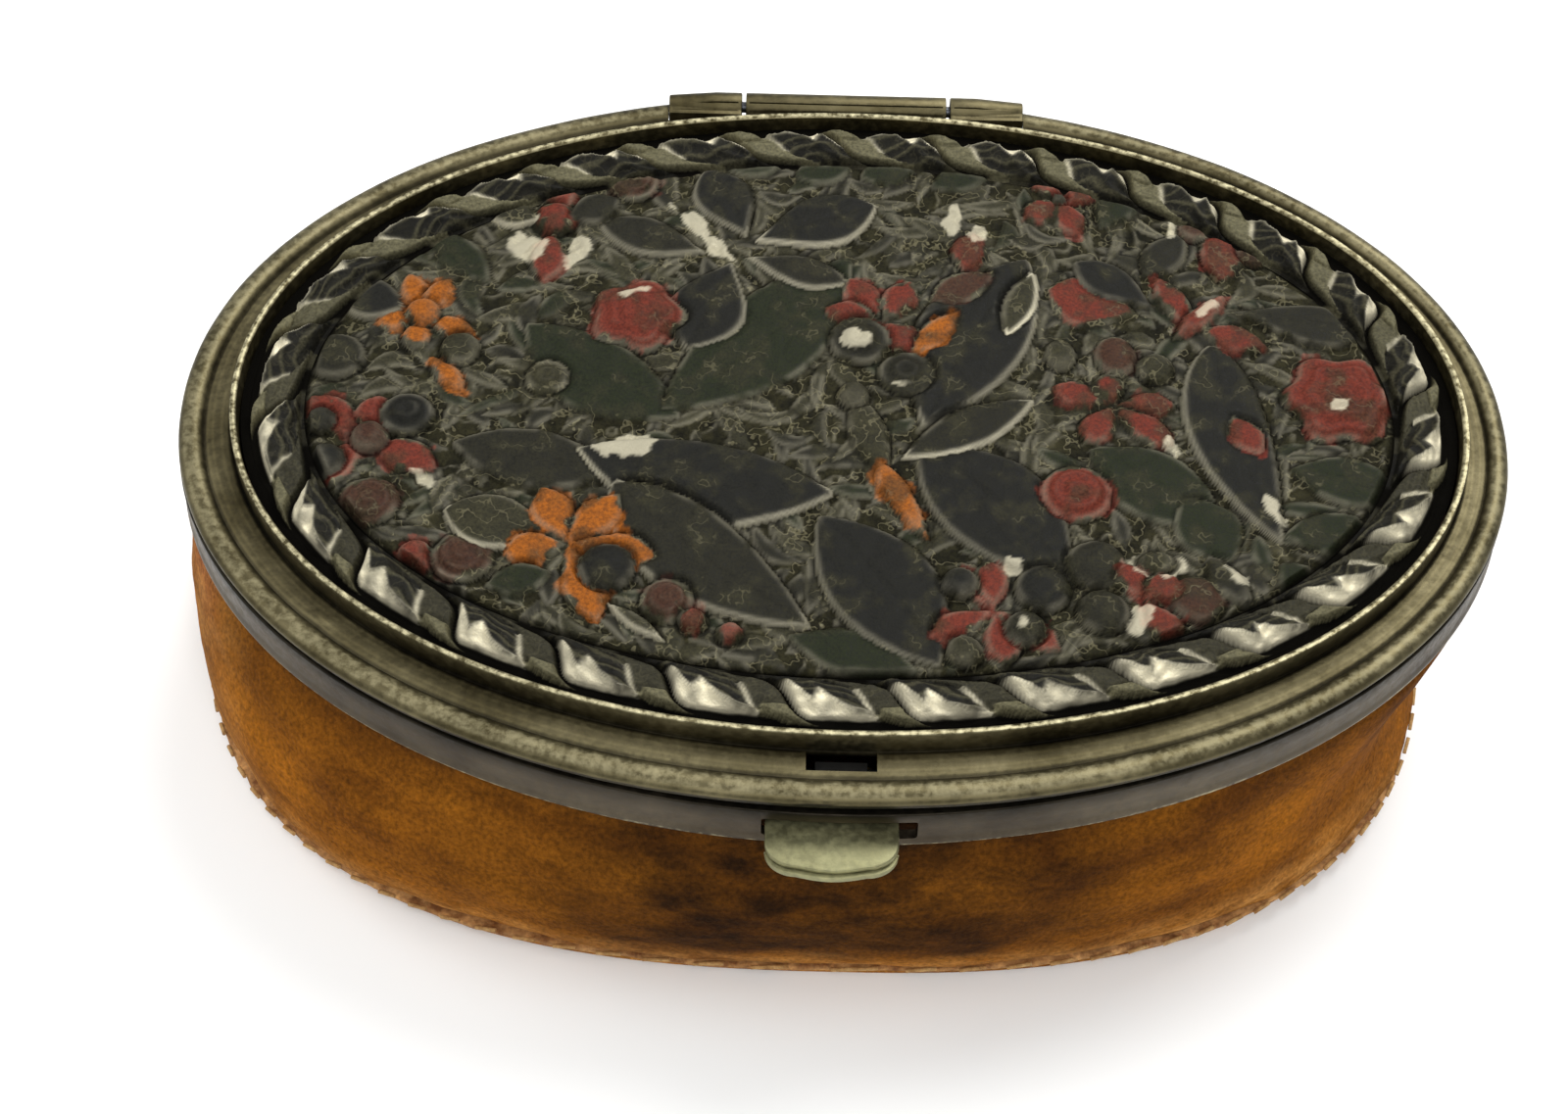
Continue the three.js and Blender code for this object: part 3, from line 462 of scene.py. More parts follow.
def rounded(corners: Profile, radius: float, steps: int = 4) -> list[Point]:
    """Rounds the corners of a closed outline.

    Args:
        corners: The outline's corners in order.
        radius: How far from each corner the rounding starts, where the sides are long enough.
        steps: Points along each rounding.

    Returns:
        The rounded outline.
    """
    result: list[Point] = []
    count = len(corners)
    for i, corner in enumerate(corners):
        here = Vector(corner)
        before = Vector(corners[i - 1]) - here
        after = Vector(corners[(i + 1) % count]) - here
        reach = min(radius, before.length * 0.45, after.length * 0.45)
        start = here + before.normalized() * reach
        end = here + after.normalized() * reach
        for step in range(steps + 1):
            t = step / steps
            spot = start * (1 - t) ** 2 + here * 2 * t * (1 - t) + end * t**2
            result.append((spot.x, spot.y))
    return result


def oval(turn: np.ndarray, offset: np.ndarray, squareness: np.ndarray | float = 2.0) -> Places:
    """Points of the bead's oval moved outwards.

    Args:
        turn: Angles from the right-hand end.
        offset: How far outwards, in millimetres.
        squareness: 2 for an ellipse, and more to fill the corners out.

    Returns:
        The places along X and Y.
    """
    power = 2.0 / np.asarray(squareness)
    cosine, sine = np.cos(turn), np.sin(turn)
    x = np.sign(cosine) * np.abs(cosine) ** power * (HALF_LENGTH + offset)
    y = np.sign(sine) * np.abs(sine) ** power * (HALF_WIDTH + offset)
    return x, y


def base_point(turn: np.ndarray, offset: np.ndarray, height: np.ndarray) -> Places:
    """Places on the base ring's oval.

    Args:
        turn: Angles from the right-hand end.
        offset: How far outwards, in millimetres.
        height: Heights above the bead's centre, which change nothing here.

    Returns:
        The places along X and Y.
    """
    return oval(turn, offset + 0 * height)


def lid_point(turn: np.ndarray, offset: np.ndarray, height: np.ndarray | float = 0.0) -> Places:
    """Places on the lid's oval, which is drawn in at its ends and moves off centre towards the collar.

    Args:
        turn: Angles from the right-hand end.
        offset: How far outwards, in millimetres.
        height: Heights above the bead's centre, which change nothing here.

    Returns:
        The places along X and Y.
    """
    inwards = np.clip(-np.asarray(offset) / COLLAR_INSET, 0, 1)
    x, y = oval(turn, offset + 0 * height, LID_SQUARENESS)
    drawn = 1 - LID_END_DRAW * (1 - inwards) / HALF_LENGTH
    return x * drawn + COLLAR_SHIFT[0] * inwards, y + COLLAR_SHIFT[1] * inwards


def pouch_point(turn: np.ndarray, offset: np.ndarray, height: np.ndarray) -> Places:
    """Places on the pouch: squarer towards its foot, swollen in front and slack at its right-hand end.

    Args:
        turn: Angles from the right-hand end.
        offset: How far outwards, in millimetres.
        height: Heights above the bead's centre.

    Returns:
        The places along X and Y.
    """
    rise = np.clip((height - POUCH_BOTTOM) / (POUCH_MOUTH - POUCH_BOTTOM), 0, 1)
    x, y = oval(turn, offset, POUCH_SQUARENESS + (2.0 - POUCH_SQUARENESS) * rise**1.3)
    low = np.minimum(1, rise / SLACK_TOP)
    waist = np.sin(math.pi * low)
    drawn = np.where(x > 0, (SLACK_FOOT * (1 - low) + SLACK_WAIST * waist) / HALF_LENGTH, 0)
    swell = np.where(y < 0, FRONT_SWELL * waist / HALF_WIDTH, 0)
    return x * (1 - drawn), y * (1 + swell)


def front_y(offset: float) -> float:
    """The place along Y of the middle of the front, at an offset from the bead's oval."""
    return -(HALF_WIDTH + offset)


def outward(co: Vector) -> Vector:
    """The level direction away from the bead's oval at a place."""
    return Vector((co.x / HALF_LENGTH**2, co.y / HALF_WIDTH**2, 0)).normalized()


def wobble(co: Vector, across: float, up: float = math.inf, seed: float = 0.0) -> float:
    """A smooth random value at a place, about from -1 to 1.

    Args:
        co: The place.
        across: The width of one patch along X and Y.
        up: Its height along Z, where it changes along Z.
        seed: Picks the pattern.

    Returns:
        The value.
    """
    return noise.noise(Vector((co.x / across, co.y / across, co.z / up + seed)))


class Join(Enum):
    """How another solid meets a piece."""

    ADD = "UNION"
    CUT = "DIFFERENCE"


class Builder:
    """Turns bmesh work in millimetres into finished pieces."""

    @staticmethod
    def spin_ring(profile: Profile, steps: int = RING_STEPS, closed: bool = True) -> Mesh:
        """Spins a profile of offsets and heights to a round ring.

        Args:
            profile: Offsets from the bead's oval, and heights.
            steps: Steps in a full turn.
            closed: Whether the profile closes on itself.

        Returns:
            The ring, still round, with its outside radius at the oval's half length.
        """
        bm = bmesh.new()
        verts = [bm.verts.new((HALF_LENGTH + offset, 0.0, height)) for offset, height in profile]
        pairs = zip(verts, verts[1:] + verts[:1]) if closed else zip(verts, verts[1:])
        edges = [bm.edges.new(pair) for pair in pairs]
        Builder.full_turn(bm, verts + edges, steps)
        return bm

    @staticmethod
    def full_turn(bm: Mesh, line: Sequence[object], steps: int) -> None:
        """Spins a line about Z and merges its seam and its poles.

        Args:
            bm: The mesh that holds the line.
            line: Its vertices and edges.
            steps: Steps in the turn.
        """
        bmesh.ops.spin(
            bm, geom=line, cent=(0, 0, 0), axis=(0, 0, 1), angle=math.tau, steps=steps, use_merge=True
        )
        bmesh.ops.remove_doubles(bm, verts=bm.verts, dist=WELD)

    @staticmethod
    def filled(profile: Profile, place_at: PlaceAt) -> Mesh:
        """Spins an open profile, draws it over an oval and fills its middle above and below.

        Args:
            profile: Offsets and heights, from one filled face round the edge to the other.
            place_at: Gives the places for turns, offsets and heights.

        Returns:
            The closed plate or cup.
        """
        bm = Builder.spin_ring(profile, PLATE_STEPS, closed=False)
        Builder.wrap(bm, place_at)
        loops = [edge for edge in bm.edges if len(edge.link_faces) == 1]
        bmesh.ops.holes_fill(bm, edges=loops, sides=0)
        bmesh.ops.recalc_face_normals(bm, faces=bm.faces)
        return bm

    @staticmethod
    def wrap(bm: Mesh, place_at: PlaceAt = base_point) -> None:
        """Draws a round ring over an oval, keeping its offsets.

        Args:
            bm: The ring.
            place_at: Gives the places for turns, offsets and heights.
        """
        place = np.array([v.co for v in bm.verts])
        radius = np.hypot(place[:, 0], place[:, 1])
        turn = np.arctan2(place[:, 1], place[:, 0])
        x, y = place_at(turn, radius - HALF_LENGTH, place[:, 2])
        for vert, new_x, new_y in zip(bm.verts, x, y):
            vert.co.x, vert.co.y = new_x, new_y
        bmesh.ops.recalc_face_normals(bm, faces=bm.faces)

    @staticmethod
    def mark(bm: Mesh, name: str, value_at: Callable[[Vector], float]) -> None:
        """Writes a value on every vertex.

        Args:
            bm: The mesh.
            name: The value's name.
            value_at: Gives the value at a place.
        """
        layer = bm.verts.layers.float.new(name)
        for vert in bm.verts:
            vert[layer] = value_at(vert.co)

    @staticmethod
    def box(low: Sequence[float], high: Sequence[float], bevel: float = 0.0) -> Mesh:
        """A box between two corners.

        Args:
            low: The lowest corner.
            high: The highest corner.
            bevel: Width of its rounded edges.

        Returns:
            The box.
        """
        bm = bmesh.new()
        bmesh.ops.create_cube(bm, size=1.0)
        size = [b - a for a, b in zip(low, high)]
        bmesh.ops.scale(bm, vec=size, verts=bm.verts)
        bmesh.ops.translate(bm, vec=[(a + b) / 2 for a, b in zip(low, high)], verts=bm.verts)
        if bevel:
            Builder.soften(bm, bevel)
        return bm

    @staticmethod
    def soften(bm: Mesh, width: float, segments: int = 2, degrees: float = 40.0) -> None:
        """Bevels the sharp edges.

        Args:
            bm: The mesh.
            width: Bevel width.
            segments: Steps in the bevel.
            degrees: The least angle that counts as sharp.
        """
        limit = math.radians(degrees)
        edges = [e for e in bm.edges if len(e.link_faces) == 2 and e.calc_face_angle(0) > limit]
        bmesh.ops.bevel(
            bm,
            geom=edges,
            offset=width,
            segments=segments,
            affect="EDGES",
            profile=0.5,
            material=-1,
            clamp_overlap=True,
        )

    @staticmethod
    def rod(radius: float, start: Vector, end: Vector, sides: int = 32) -> Mesh:
        """A rod between two places.

        Args:
            radius: The rod's radius.
            start: One end.
            end: The other end.
            sides: Its number of sides.

        Returns:
            The rod.
        """
        bm = bmesh.new()
        along = end - start
        size = {"radius1": radius, "radius2": radius, "depth": along.length}
        bmesh.ops.create_cone(bm, cap_ends=True, cap_tris=False, segments=sides, **size)
        turn = Vector((0, 0, 1)).rotation_difference(along).to_matrix().to_4x4()
        bmesh.ops.transform(bm, matrix=Matrix.Translation((start + end) / 2) @ turn, verts=bm.verts)
        return bm

    @staticmethod
    def outline_plate(outline: Profile, bottom: float, thickness: float) -> Mesh:
        """A flat plate of an outline.

        Args:
            outline: The outline in X and Y.
            bottom: The height of its underside.
            thickness: Its thickness.

        Returns:
            The plate.
        """
        bm = bmesh.new()
        face = bm.faces.new([bm.verts.new((x, y, bottom)) for x, y in outline])
        grown = bmesh.ops.extrude_face_region(bm, geom=[face])
        top = [item for item in grown["geom"] if isinstance(item, bmesh.types.BMVert)]
        bmesh.ops.translate(bm, vec=(0, 0, thickness), verts=top)
        bmesh.ops.recalc_face_normals(bm, faces=bm.faces)
        return bm

    @staticmethod
    def shade(bm: Mesh, degrees: float) -> None:
        """Smooths the faces and keeps the sharp edges crisp.

        Args:
            bm: The mesh.
            degrees: The least angle that stays crisp.
        """
        limit = math.radians(degrees)
        for face in bm.faces:
            face.smooth = True
        for edge in bm.edges:
            edge.smooth = len(edge.link_faces) == 2 and edge.calc_face_angle(0) < limit

    @staticmethod
    def finish(bm: Mesh, name: str, sharp: float = CRISP_DEGREES) -> Piece:
        """Sets a mesh down in metres as a shaded piece.

        Args:
            bm: The mesh in millimetres about the bead's centre. It is freed.
            name: The piece's name.
            sharp: The least angle that stays crisp, in degrees.

        Returns:
            The piece.
        """
        bmesh.ops.translate(bm, vec=CENTRE, verts=bm.verts)
        bmesh.ops.scale(bm, vec=(MM, MM, MM), verts=bm.verts)
        Builder.shade(bm, sharp)
        mesh = bpy.data.meshes.new(name)
        bm.to_mesh(mesh)
        bm.free()
        piece = bpy.data.objects.new(name, mesh)
        bpy.context.scene.collection.objects.link(piece)
        return piece

    @staticmethod
    def combine(piece: Piece, other: Mesh, how: Join) -> None:
        """Joins another solid to a piece, or cuts it away.

        Args:
            piece: The finished piece.
            other: The other solid, in millimetres. It is freed.
            how: Whether it is added or cut away.
        """
        tool = Builder.finish(other, piece.name + "_tool")
        modifier = piece.modifiers.new("cut", "BOOLEAN")
        modifier.object = tool
        modifier.operation = how.value
        modifier.solver = "EXACT"
        depsgraph = bpy.context.evaluated_depsgraph_get()
        depsgraph.update()
        made = bpy.data.meshes.new_from_object(piece.evaluated_get(depsgraph))
        piece.modifiers.clear()
        old = piece.data
        piece.data = made
        bpy.data.meshes.remove(old)
        made.name = piece.name
        tool_mesh = tool.data
        bpy.data.objects.remove(tool)
        bpy.data.meshes.remove(tool_mesh)

    @staticmethod
    def crisp(piece: Piece) -> None:
        """Smooths a finished piece and keeps its sharp edges crisp.

        Args:
            piece: The piece.
        """
        bm = bmesh.new()
        bm.from_mesh(piece.data)
        Builder.shade(bm, CRISP_DEGREES)
        bm.to_mesh(piece.data)
        bm.free()


def lever_notch(back: float) -> Mesh:
    """The notch that lets the lever through, from the band's face in to an offset from the bead's oval."""
    return Builder.box((-NOTCH_HALF, front_y(BAND_FACE), NOTCH_BOTTOM), (NOTCH_HALF, front_y(back), 0))


def places_of(piece: Piece) -> np.ndarray:
    """The places of a finished piece's vertices, in millimetres about the bead's centre."""
    co = np.zeros(len(piece.data.vertices) * 3)
    piece.data.vertices.foreach_get("co", co)
    return co.reshape(-1, 3) / MM - np.array(CENTRE)


def write_values(piece: Piece, name: str, values: np.ndarray) -> None:
    """Writes a value on every vertex of a finished piece.

    Args:
        piece: The piece.
        name: The value's name.
        values: The values.
    """
    piece.data.attributes.new(name, "FLOAT", "POINT").data.foreach_set("value", values)


def paint_shade_black(piece: Piece, where: Callable[[np.ndarray], np.ndarray], grime_shade_and_highlight: float = 1.5) -> None:
    """Paints some vertices black as shade.

    Args:
        piece: The piece, which has its shade and highlight attribute.
        where: Tells for places in millimetres which are black.
        grime_shade_and_highlight: How much painted shade they get, over 1 so that no patch of it is thin.
    """
    layer = piece.data.attributes["grime_shade_and_highlight"]
    values = np.zeros(len(piece.data.vertices))
    layer.data.foreach_get("value", values)
    values[where(places_of(piece))] = grime_shade_and_highlight
    layer.data.foreach_set("value", values)


def dress(piece: Piece, material: Finish, body: str, slot: str, *nodes: str) -> Piece:
    """Gives a piece its finish, its body and the nodes that it stands for.

    Args:
        piece: The finished piece.
        material: Its finish.
        body: The body that it rides on.
        slot: A material slot's name, which is not used.
        *nodes: The nodes that it replaces.

    Returns:
        The piece.
    """
    piece.data.materials.clear()
    piece.data.materials.append(material)
    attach(piece, body)
    if nodes:
        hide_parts(*nodes)
    log.info("made %s with %d faces", piece.name, len(piece.data.polygons))
    return piece


class Paint(Enum):
    """What is rubbed into a raised form: a colour, and how fully it covers."""

    BARE = ("#302e21", 0.45)
    RED = ("#64271c", 0.9)
    ORANGE = ("#8b4c12", 0.93)
    GREEN = ("#171d0e", 0.88)
    DARK = ("#191812", 0.85)
    BLUE = ("#131311", 0.92)
    PINK = ("#43221a", 0.7)
    SILVER = ("#d9d4c2", 1.0)


@dataclass(frozen=True)
class Blade:
    """A leaf, petal or wing between its root and its tip."""

    root: Point
    tip: Point
    width: float
    paint: Paint
    height: float = 0.6
    widest: float = 0.5
    bow: float = 0.0
    veins: int = 0
    # A painted highlight along the edge on the side towards the light
    bright_edge: float = 0.0
    # How deep the cut line round it is, and how black its painted shadow
    cut: float = 1.0


@dataclass(frozen=True)
class Boss:
    """A round or oval bead with optional rings cut round it."""

    centre: Point
    radius: float
    paint: Paint
    height: float = 0.7
    rings: int = 0
    stretch: float = 1.0
    petals: int = 0


def petals(centre: Point, tips: Sequence[Point], width: float, paint: Paint) -> list[Blade]:
    """Petals or wings that share one centre.

    Args:
        centre: Where they meet.
        tips: Where each one ends.
        width: Their width.
        paint: Their paint.

    Returns:
        The blades.
    """
    return [Blade(centre, tip, width, paint, height=0.65, widest=0.6) for tip in tips]


# The ornament, form by form, each laid over the ones before it. A blade has its root, tip, width, paint and
# height, and then where it is widest. A boss has its centre, radius, paint and height.
B, P = Blade, Paint
MOTIFS: list[Blade | Boss] = [
    # flat leaves
    B((-10.8, -1.6), (-21.6, 6.4), 6.4, P.GREEN, 0.45, bow=0.05, veins=4),
    B((-12, -1), (0.4, 13.2), 7.6, P.GREEN, 0.45, bow=-0.04, veins=4),
    B((16, -3.4), (24.2, -9.4), 5.8, P.GREEN, 0.5, veins=4),
    B((22, -7.4), (24.6, -12.4), 4.6, P.GREEN, 0.5),
    B((29, -4.8), (36.6, -6.6), 4.2, P.GREEN, 0.5, veins=3),
    B((28, -10.2), (34.8, -9.8), 3.6, P.GREEN, 0.5),
    B((35, -11.2), (38.4, -6.8), 3.8, P.DARK, 0.6),
    B((36.4, 6.4), (37.6, 0.4), 2.8, P.GREEN, 0.5),
    B((-3.4, -19), (4.6, -21.4), 3.6, P.GREEN, 0.5),
    B((-8.6, 21.4), (-4, 23.4), 3.3, P.GREEN, 0.5),
    B((-3.6, 20.8), (0.6, 22.9), 3.4, P.GREEN, 0.5),
    B((1, 20.9), (5.2, 22.9), 3.2, P.GREEN, 0.5),
    B((6, 20.2), (10.4, 22.3), 3.0, P.GREEN, 0.5),
    B((-31.4, 14.6), (-35.6, 9.6), 3.4, P.DARK, 0.5),
    B((-24.4, 10), (-28.6, 14.8), 3.0, P.GREEN, 0.5),
    B((27.6, -12.4), (30.4, -15.8), 3.2, P.GREEN, 0.5),
    B((-36.8, 4.4), (-36.4, 10.2), 3.0, P.DARK, 0.6),
    B((-14.8, -6.6), (-25.6, -4.2), 5.0, P.DARK, 0.6, veins=3),
    # middle butterfly: forewings, hindwings and body
    B((5.2, -2), (12.6, 13.4), 7.8, P.BLUE, 0.8, 0.52, bow=0.03, veins=5, bright_edge=0.35),
    B((-0.6, -7.8), (-17.4, -4.6), 7.0, P.BLUE, 0.85, 0.5, bow=0.06, veins=5, bright_edge=0.5),
    B((-14.9, -7.4), (-2.0, -18.4), 6.6, P.DARK, 0.75, 0.42, bow=-0.04, veins=5, bright_edge=0.35),
    B((-1.6, -9.6), (5.9, -21), 7.2, P.BLUE, 0.75, 0.5, bow=0.03, veins=4, bright_edge=0.2),
    B((5.0, -4.0), (14.2, -14.4), 7.6, P.BLUE, 0.75, 0.46, bow=0.05, veins=4, bright_edge=0.2),
    B((3.8, -4.6), (12.6, 0.6), 3.4, P.DARK, 0.6, 0.5, bright_edge=0.6),
    B((10.9, 6.2), (13.0, 12.2), 2.3, P.BARE, 0.5, 0.5, bright_edge=0.8),
    B((-12.2, -3.8), (-17.0, -4.8), 2.3, P.SILVER, 0.6, 0.4),
    B((0.6, 0.8), (2.6, -6), 2.6, P.BARE, 0.9),
    B((2.2, -5.2), (5.5, -11.6), 1.9, P.ORANGE, 0.9, 0.35),
    Boss((0.6, 0.6), 1.1, P.BARE, 0.9),
    # small butterfly at the back
    B((-6.8, 14.8), (-9.9, 21.4), 4.3, P.BLUE, 0.7, 0.6, veins=3, bright_edge=0.3),
    B((-6.4, 14.4), (2.2, 18.2), 5.0, P.BLUE, 0.7, 0.6, veins=3, bright_edge=0.6),
    B((-7.8, 12.6), (-10.6, 4.4), 5.6, P.BLUE, 0.7, 0.6, veins=3, bright_edge=0.3),
    B((-7, 13), (0.2, 10.7), 3.0, P.DARK, 0.6, 0.6, bright_edge=0.4),
    B((-9.5, 13.2), (-17.2, 15.9), 3.6, P.DARK, 0.6, 0.6, bright_edge=0.3),
    B((-12.3, 17.8), (-7.5, 12.5), 1.4, P.SILVER, 0.8),
    # left-hand blossoms
    *petals((-20.4, 15.2), [(-20.1, 21.4), (-20.6, 10.2)], 2.7, P.RED),
    Boss((-20.3, 16.1), 1.5, P.RED, 0.9),
    B((-21.4, 11.6), (-22.8, 15.1), 2.4, P.SILVER, 0.8),
    B((-18.9, 11.8), (-18.4, 14.6), 1.5, P.SILVER, 0.8),
    B((-19.2, 16), (-15.9, 18.4), 3.0, P.DARK, 0.7),
    B((-21.4, 16), (-25.2, 17), 2.8, P.BARE, 0.7, bright_edge=0.6),
    Boss((-15, 20), 1.8, P.PINK, 0.7, rings=2),
    Boss((-14.1, 7.3), 3.1, P.RED, 0.95, rings=3, petals=5),
    B((-15.8, 8.6), (-13.6, 9.2), 0.8, P.SILVER, 1.0),
    *petals(
        (-28.6, 6.8),
        [(-29.9, 10.6), (-27.0, 10.2), (-31.6, 6.0), (-24.8, 5.0), (-29.0, 3.6)],
        2.0,
        P.ORANGE,
    ),
    Boss((-28.6, 7.0), 1.2, P.ORANGE, 0.95),
    B((-30, 7.4), (-34.7, 9.0), 3.8, P.BLUE, 0.75, bright_edge=0.3),
    B((-33.8, 7.8), (-35.2, 6.2), 1.5, P.ORANGE, 0.6),
    B((-27.7, 3.2), (-25.2, 0.2), 1.7, P.ORANGE, 0.6),
    Boss((-25.8, 3.9), 1.4, P.BARE, 0.7),
    Boss((-34, 3), 2.0, P.DARK, 0.7),
    Boss((-19.8, 1.6), 1.5, P.BARE, 0.6, rings=1),
    *petals((-30.9, -4.0), [(-35.6, -0.8), (-35.0, -8.2), (-26.4, -6.6), (-30.6, -0.4)], 3.0, P.RED),
    Boss((-30.9, -4.0), 1.3, P.PINK, 0.95),
    Boss((-33.6, -6.0), 1.35, P.BLUE, 0.85),
    Boss((-34.3, -2.7), 1.05, P.BLUE, 0.8),
    Boss((-28.7, -1.9), 1.8, P.BLUE, 0.8, rings=1),
    B((-28.2, -6.6), (-25.9, -7.9), 0.8, P.SILVER, 0.7),
    Boss((-30.4, -9.2), 2.0, P.PINK, 0.75, rings=2),
    Boss((-27, -13.6), 1.25, P.RED, 0.8),
    Boss((-24, -13.5), 2.0, P.PINK, 0.8, rings=2),
    # left-hand butterfly
    B((-17.8, -11.8), (-25.6, -9.8), 4.4, P.BARE, 0.6, 0.6, veins=7, bright_edge=0.5),
    *petals(
        (-17.5, -12.2),
        [(-19.4, -7.8), (-14.4, -8.4), (-11.8, -13.2), (-15.2, -18.2), (-21.4, -13.3)],
        2.9,
        P.ORANGE,
    ),
    Boss((-14.9, -14.1), 1.85, P.BLUE, 0.85),
    B((-22.4, -15.8), (-18.3, -14.6), 2.6, P.GREEN, 0.6),
    Boss((-11, -16.6), 1.7, P.PINK, 0.8, rings=2),
    B((-11.4, -17.4), (-10.2, -15.8), 0.7, P.SILVER, 0.9),
    Boss((-9.3, -18.1), 0.95, P.RED, 0.8),
    Boss((-7, -19), 0.85, P.RED, 0.8),
    B((-14.7, -16.8), (-11, -19.6), 1.2, P.BARE, 0.6, bright_edge=0.5),
    # middle blossoms
    *petals((2.6, 7.2), [(0.2, 11.2), (4.6, 11), (5.2, 4.8), (-1.4, 8.2)], 2.6, P.RED),
    Boss((1, 5.5), 2.1, P.DARK, 0.8, rings=1),
    Boss((1, 5.3), 0.9, P.SILVER, 1.1),
    B((4.6, 4.4), (7.6, 8.2), 2.0, P.ORANGE, 0.55),
    Boss((4.1, 2.7), 1.9, P.DARK, 0.7, rings=1),
    B((2.9, 1.5), (5.4, 1.8), 0.8, P.SILVER, 0.7),
    B((8.2, 12.2), (8.9, 15.8), 2.6, P.RED, 0.6),
    B((7.2, 15), (7.6, 18.2), 1.1, P.SILVER, 0.7),
    B((9.0, 15), (9.6, 17), 0.9, P.SILVER, 0.7),
    B((10.2, 12), (5.8, 9.2), 2.9, P.PINK, 0.5, veins=5),
    # right-hand blossoms and butterfly
    *petals((15.1, 19.2), [(18.2, 20.6), (12.6, 17.2), (16.2, 15.8), (13.8, 22)], 2.4, P.RED),
    Boss((15.1, 19.3), 0.5, P.DARK, 0.4),
    B((17.8, 16.6), (20.8, 21.6), 3.2, P.GREEN, 0.6),
    B((20.6, 11.8), (23.6, 16.2), 3.0, P.DARK, 0.6),
    B((22.4, 15.4), (23.4, 17.8), 1.2, P.SILVER, 0.7),
    B((26, 11.4), (26.7, 17.8), 3.4, P.RED, 0.7, veins=3),
    Boss((28.5, 14.6), 1.3, P.PINK, 0.6),
    Boss((24.4, 16.6), 1.1, P.PINK, 0.6),
    B((20.2, 8.2), (13.9, 10.6), 5.0, P.RED, 0.6, 0.6),
    B((21.2, 9), (15.8, 13.2), 3.4, P.BLUE, 0.65, 0.6, veins=3),
    B((26.4, 9), (36, 7), 3.8, P.DARK, 0.65, 0.6, veins=3),
    B((24.7, 5.8), (27.9, -11), 5.6, P.BLUE, 0.75, 0.4, bow=-0.05, veins=4, bright_edge=0.3),
    B((25.6, -0.6), (27.2, -3.8), 2.4, P.RED, 0.9),
    B((27.1, -7.2), (27.9, -9.6), 0.9, P.SILVER, 0.8),
    B((23.6, 7.4), (21.4, 12), 2.2, P.RED, 0.7),
    B((24.2, 7.2), (28.6, 5.6), 2.6, P.RED, 0.7),
    B((22.2, 6.2), (26.2, 10.4), 1.7, P.RED, 1.0),
    B((24.0, 8.0), (25.3, 9.6), 0.7, P.SILVER, 1.15),
    Boss((33, 1.3), 3.7, P.RED, 1.0, rings=3, petals=6),
    B((32.2, 0.2), (33.6, 0.8), 0.8, P.SILVER, 1.1),
    Boss((18.2, 4.6), 1.8, P.PINK, 0.7, stretch=1.25),
    Boss((14.5, 4.6), 1.4, P.BARE, 0.7, stretch=1.3),
    Boss((20.8, 3.6), 1.3, P.BARE, 0.7),
    *petals((17.8, 0.3), [(13.8, 1.8), (22, 0.4), (15.8, -3), (21.6, -3.2), (17.4, 3)], 2.4, P.RED),
    B((21.2, -2.6), (21.8, -3.6), 0.8, P.SILVER, 0.9),
    Boss((15, -7.2), 2.3, P.RED, 0.85, rings=2),
    *petals((9.4, -16.6), [(7.2, -13), (5.4, -19), (10.2, -20.8), (13.4, -19.6), (9.2, -12.8)], 2.4, P.RED),
    Boss((7.3, -14.7), 1.2, P.BLUE, 0.85),
    Boss((11.3, -18.1), 1.35, P.DARK, 0.9),
    Boss((11.2, -18.1), 0.55, P.SILVER, 1.1),
    Boss((12.5, -15), 1.8, P.BLUE, 0.8),
    B((10.2, -14), (11, -13), 0.8, P.SILVER, 0.8),
    Boss((7.5, -19.9), 1.2, P.BARE, 0.8),
    Boss((16, -13), 2.0, P.DARK, 0.75),
    Boss((22.2, -15.4), 1.8, P.PINK, 0.7),
    Boss((16.2, -16.6), 1.7, P.DARK, 0.75),
    *petals((18.8, -15.6), [(17.8, -12.8), (20.8, -19), (21, -13.8)], 2.4, P.RED),
    Boss((19, -16.7), 0.55, P.SILVER, 1.1),
    Boss((18.2, -18), 0.7, P.SILVER, 1.0),
    Boss((19.8, -12.6), 1.3, P.SILVER, 0.7, stretch=0.7),
    Boss((19.8, -12.6), 0.85, P.BARE, 0.5, stretch=0.7),
    B((23, -12), (25.5, -16), 2.1, P.DARK, 0.7),
    B((24, -12.8), (25.2, -14.2), 1.0, P.SILVER, 0.85),
    B((32.6, -13), (35.8, -11.8), 1.0, P.SILVER, 0.7),
]


def plane_noise(x: np.ndarray, y: np.ndarray, size: float, seed: int, octaves: int = 3) -> np.ndarray:
    """Smooth random values over the plane, about from -1 to 1.

    Args:
        x: Places along X, in millimetres.
        y: Places along Y, in millimetres.
        size: The width of one patch in millimetres.
        seed: Picks the pattern.
        octaves: Its number of layers, each half as wide as the last.

    Returns:
        The value at each place.
    """
    total = np.zeros(x.shape)
    cells, fade = NOISE_CELLS, 0.55
    for octave in range(octaves):
        lattice = np.random.default_rng(seed * 16 + octave).uniform(-1, 1, (cells, cells))
        u, v = x / size * 2**octave, y / size * 2**octave
        i, j = np.floor(u).astype(int), np.floor(v).astype(int)
        right, up = (part * part * (3 - 2 * part) for part in (u - i, v - j))
        here, there = i % cells, (i + 1) % cells
        low = lattice[here, j % cells] * (1 - right) + lattice[there, j % cells] * right
        high = lattice[here, (j + 1) % cells] * (1 - right) + lattice[there, (j + 1) % cells] * right
        total += (low * (1 - up) + high * up) * fade**octave
    return total


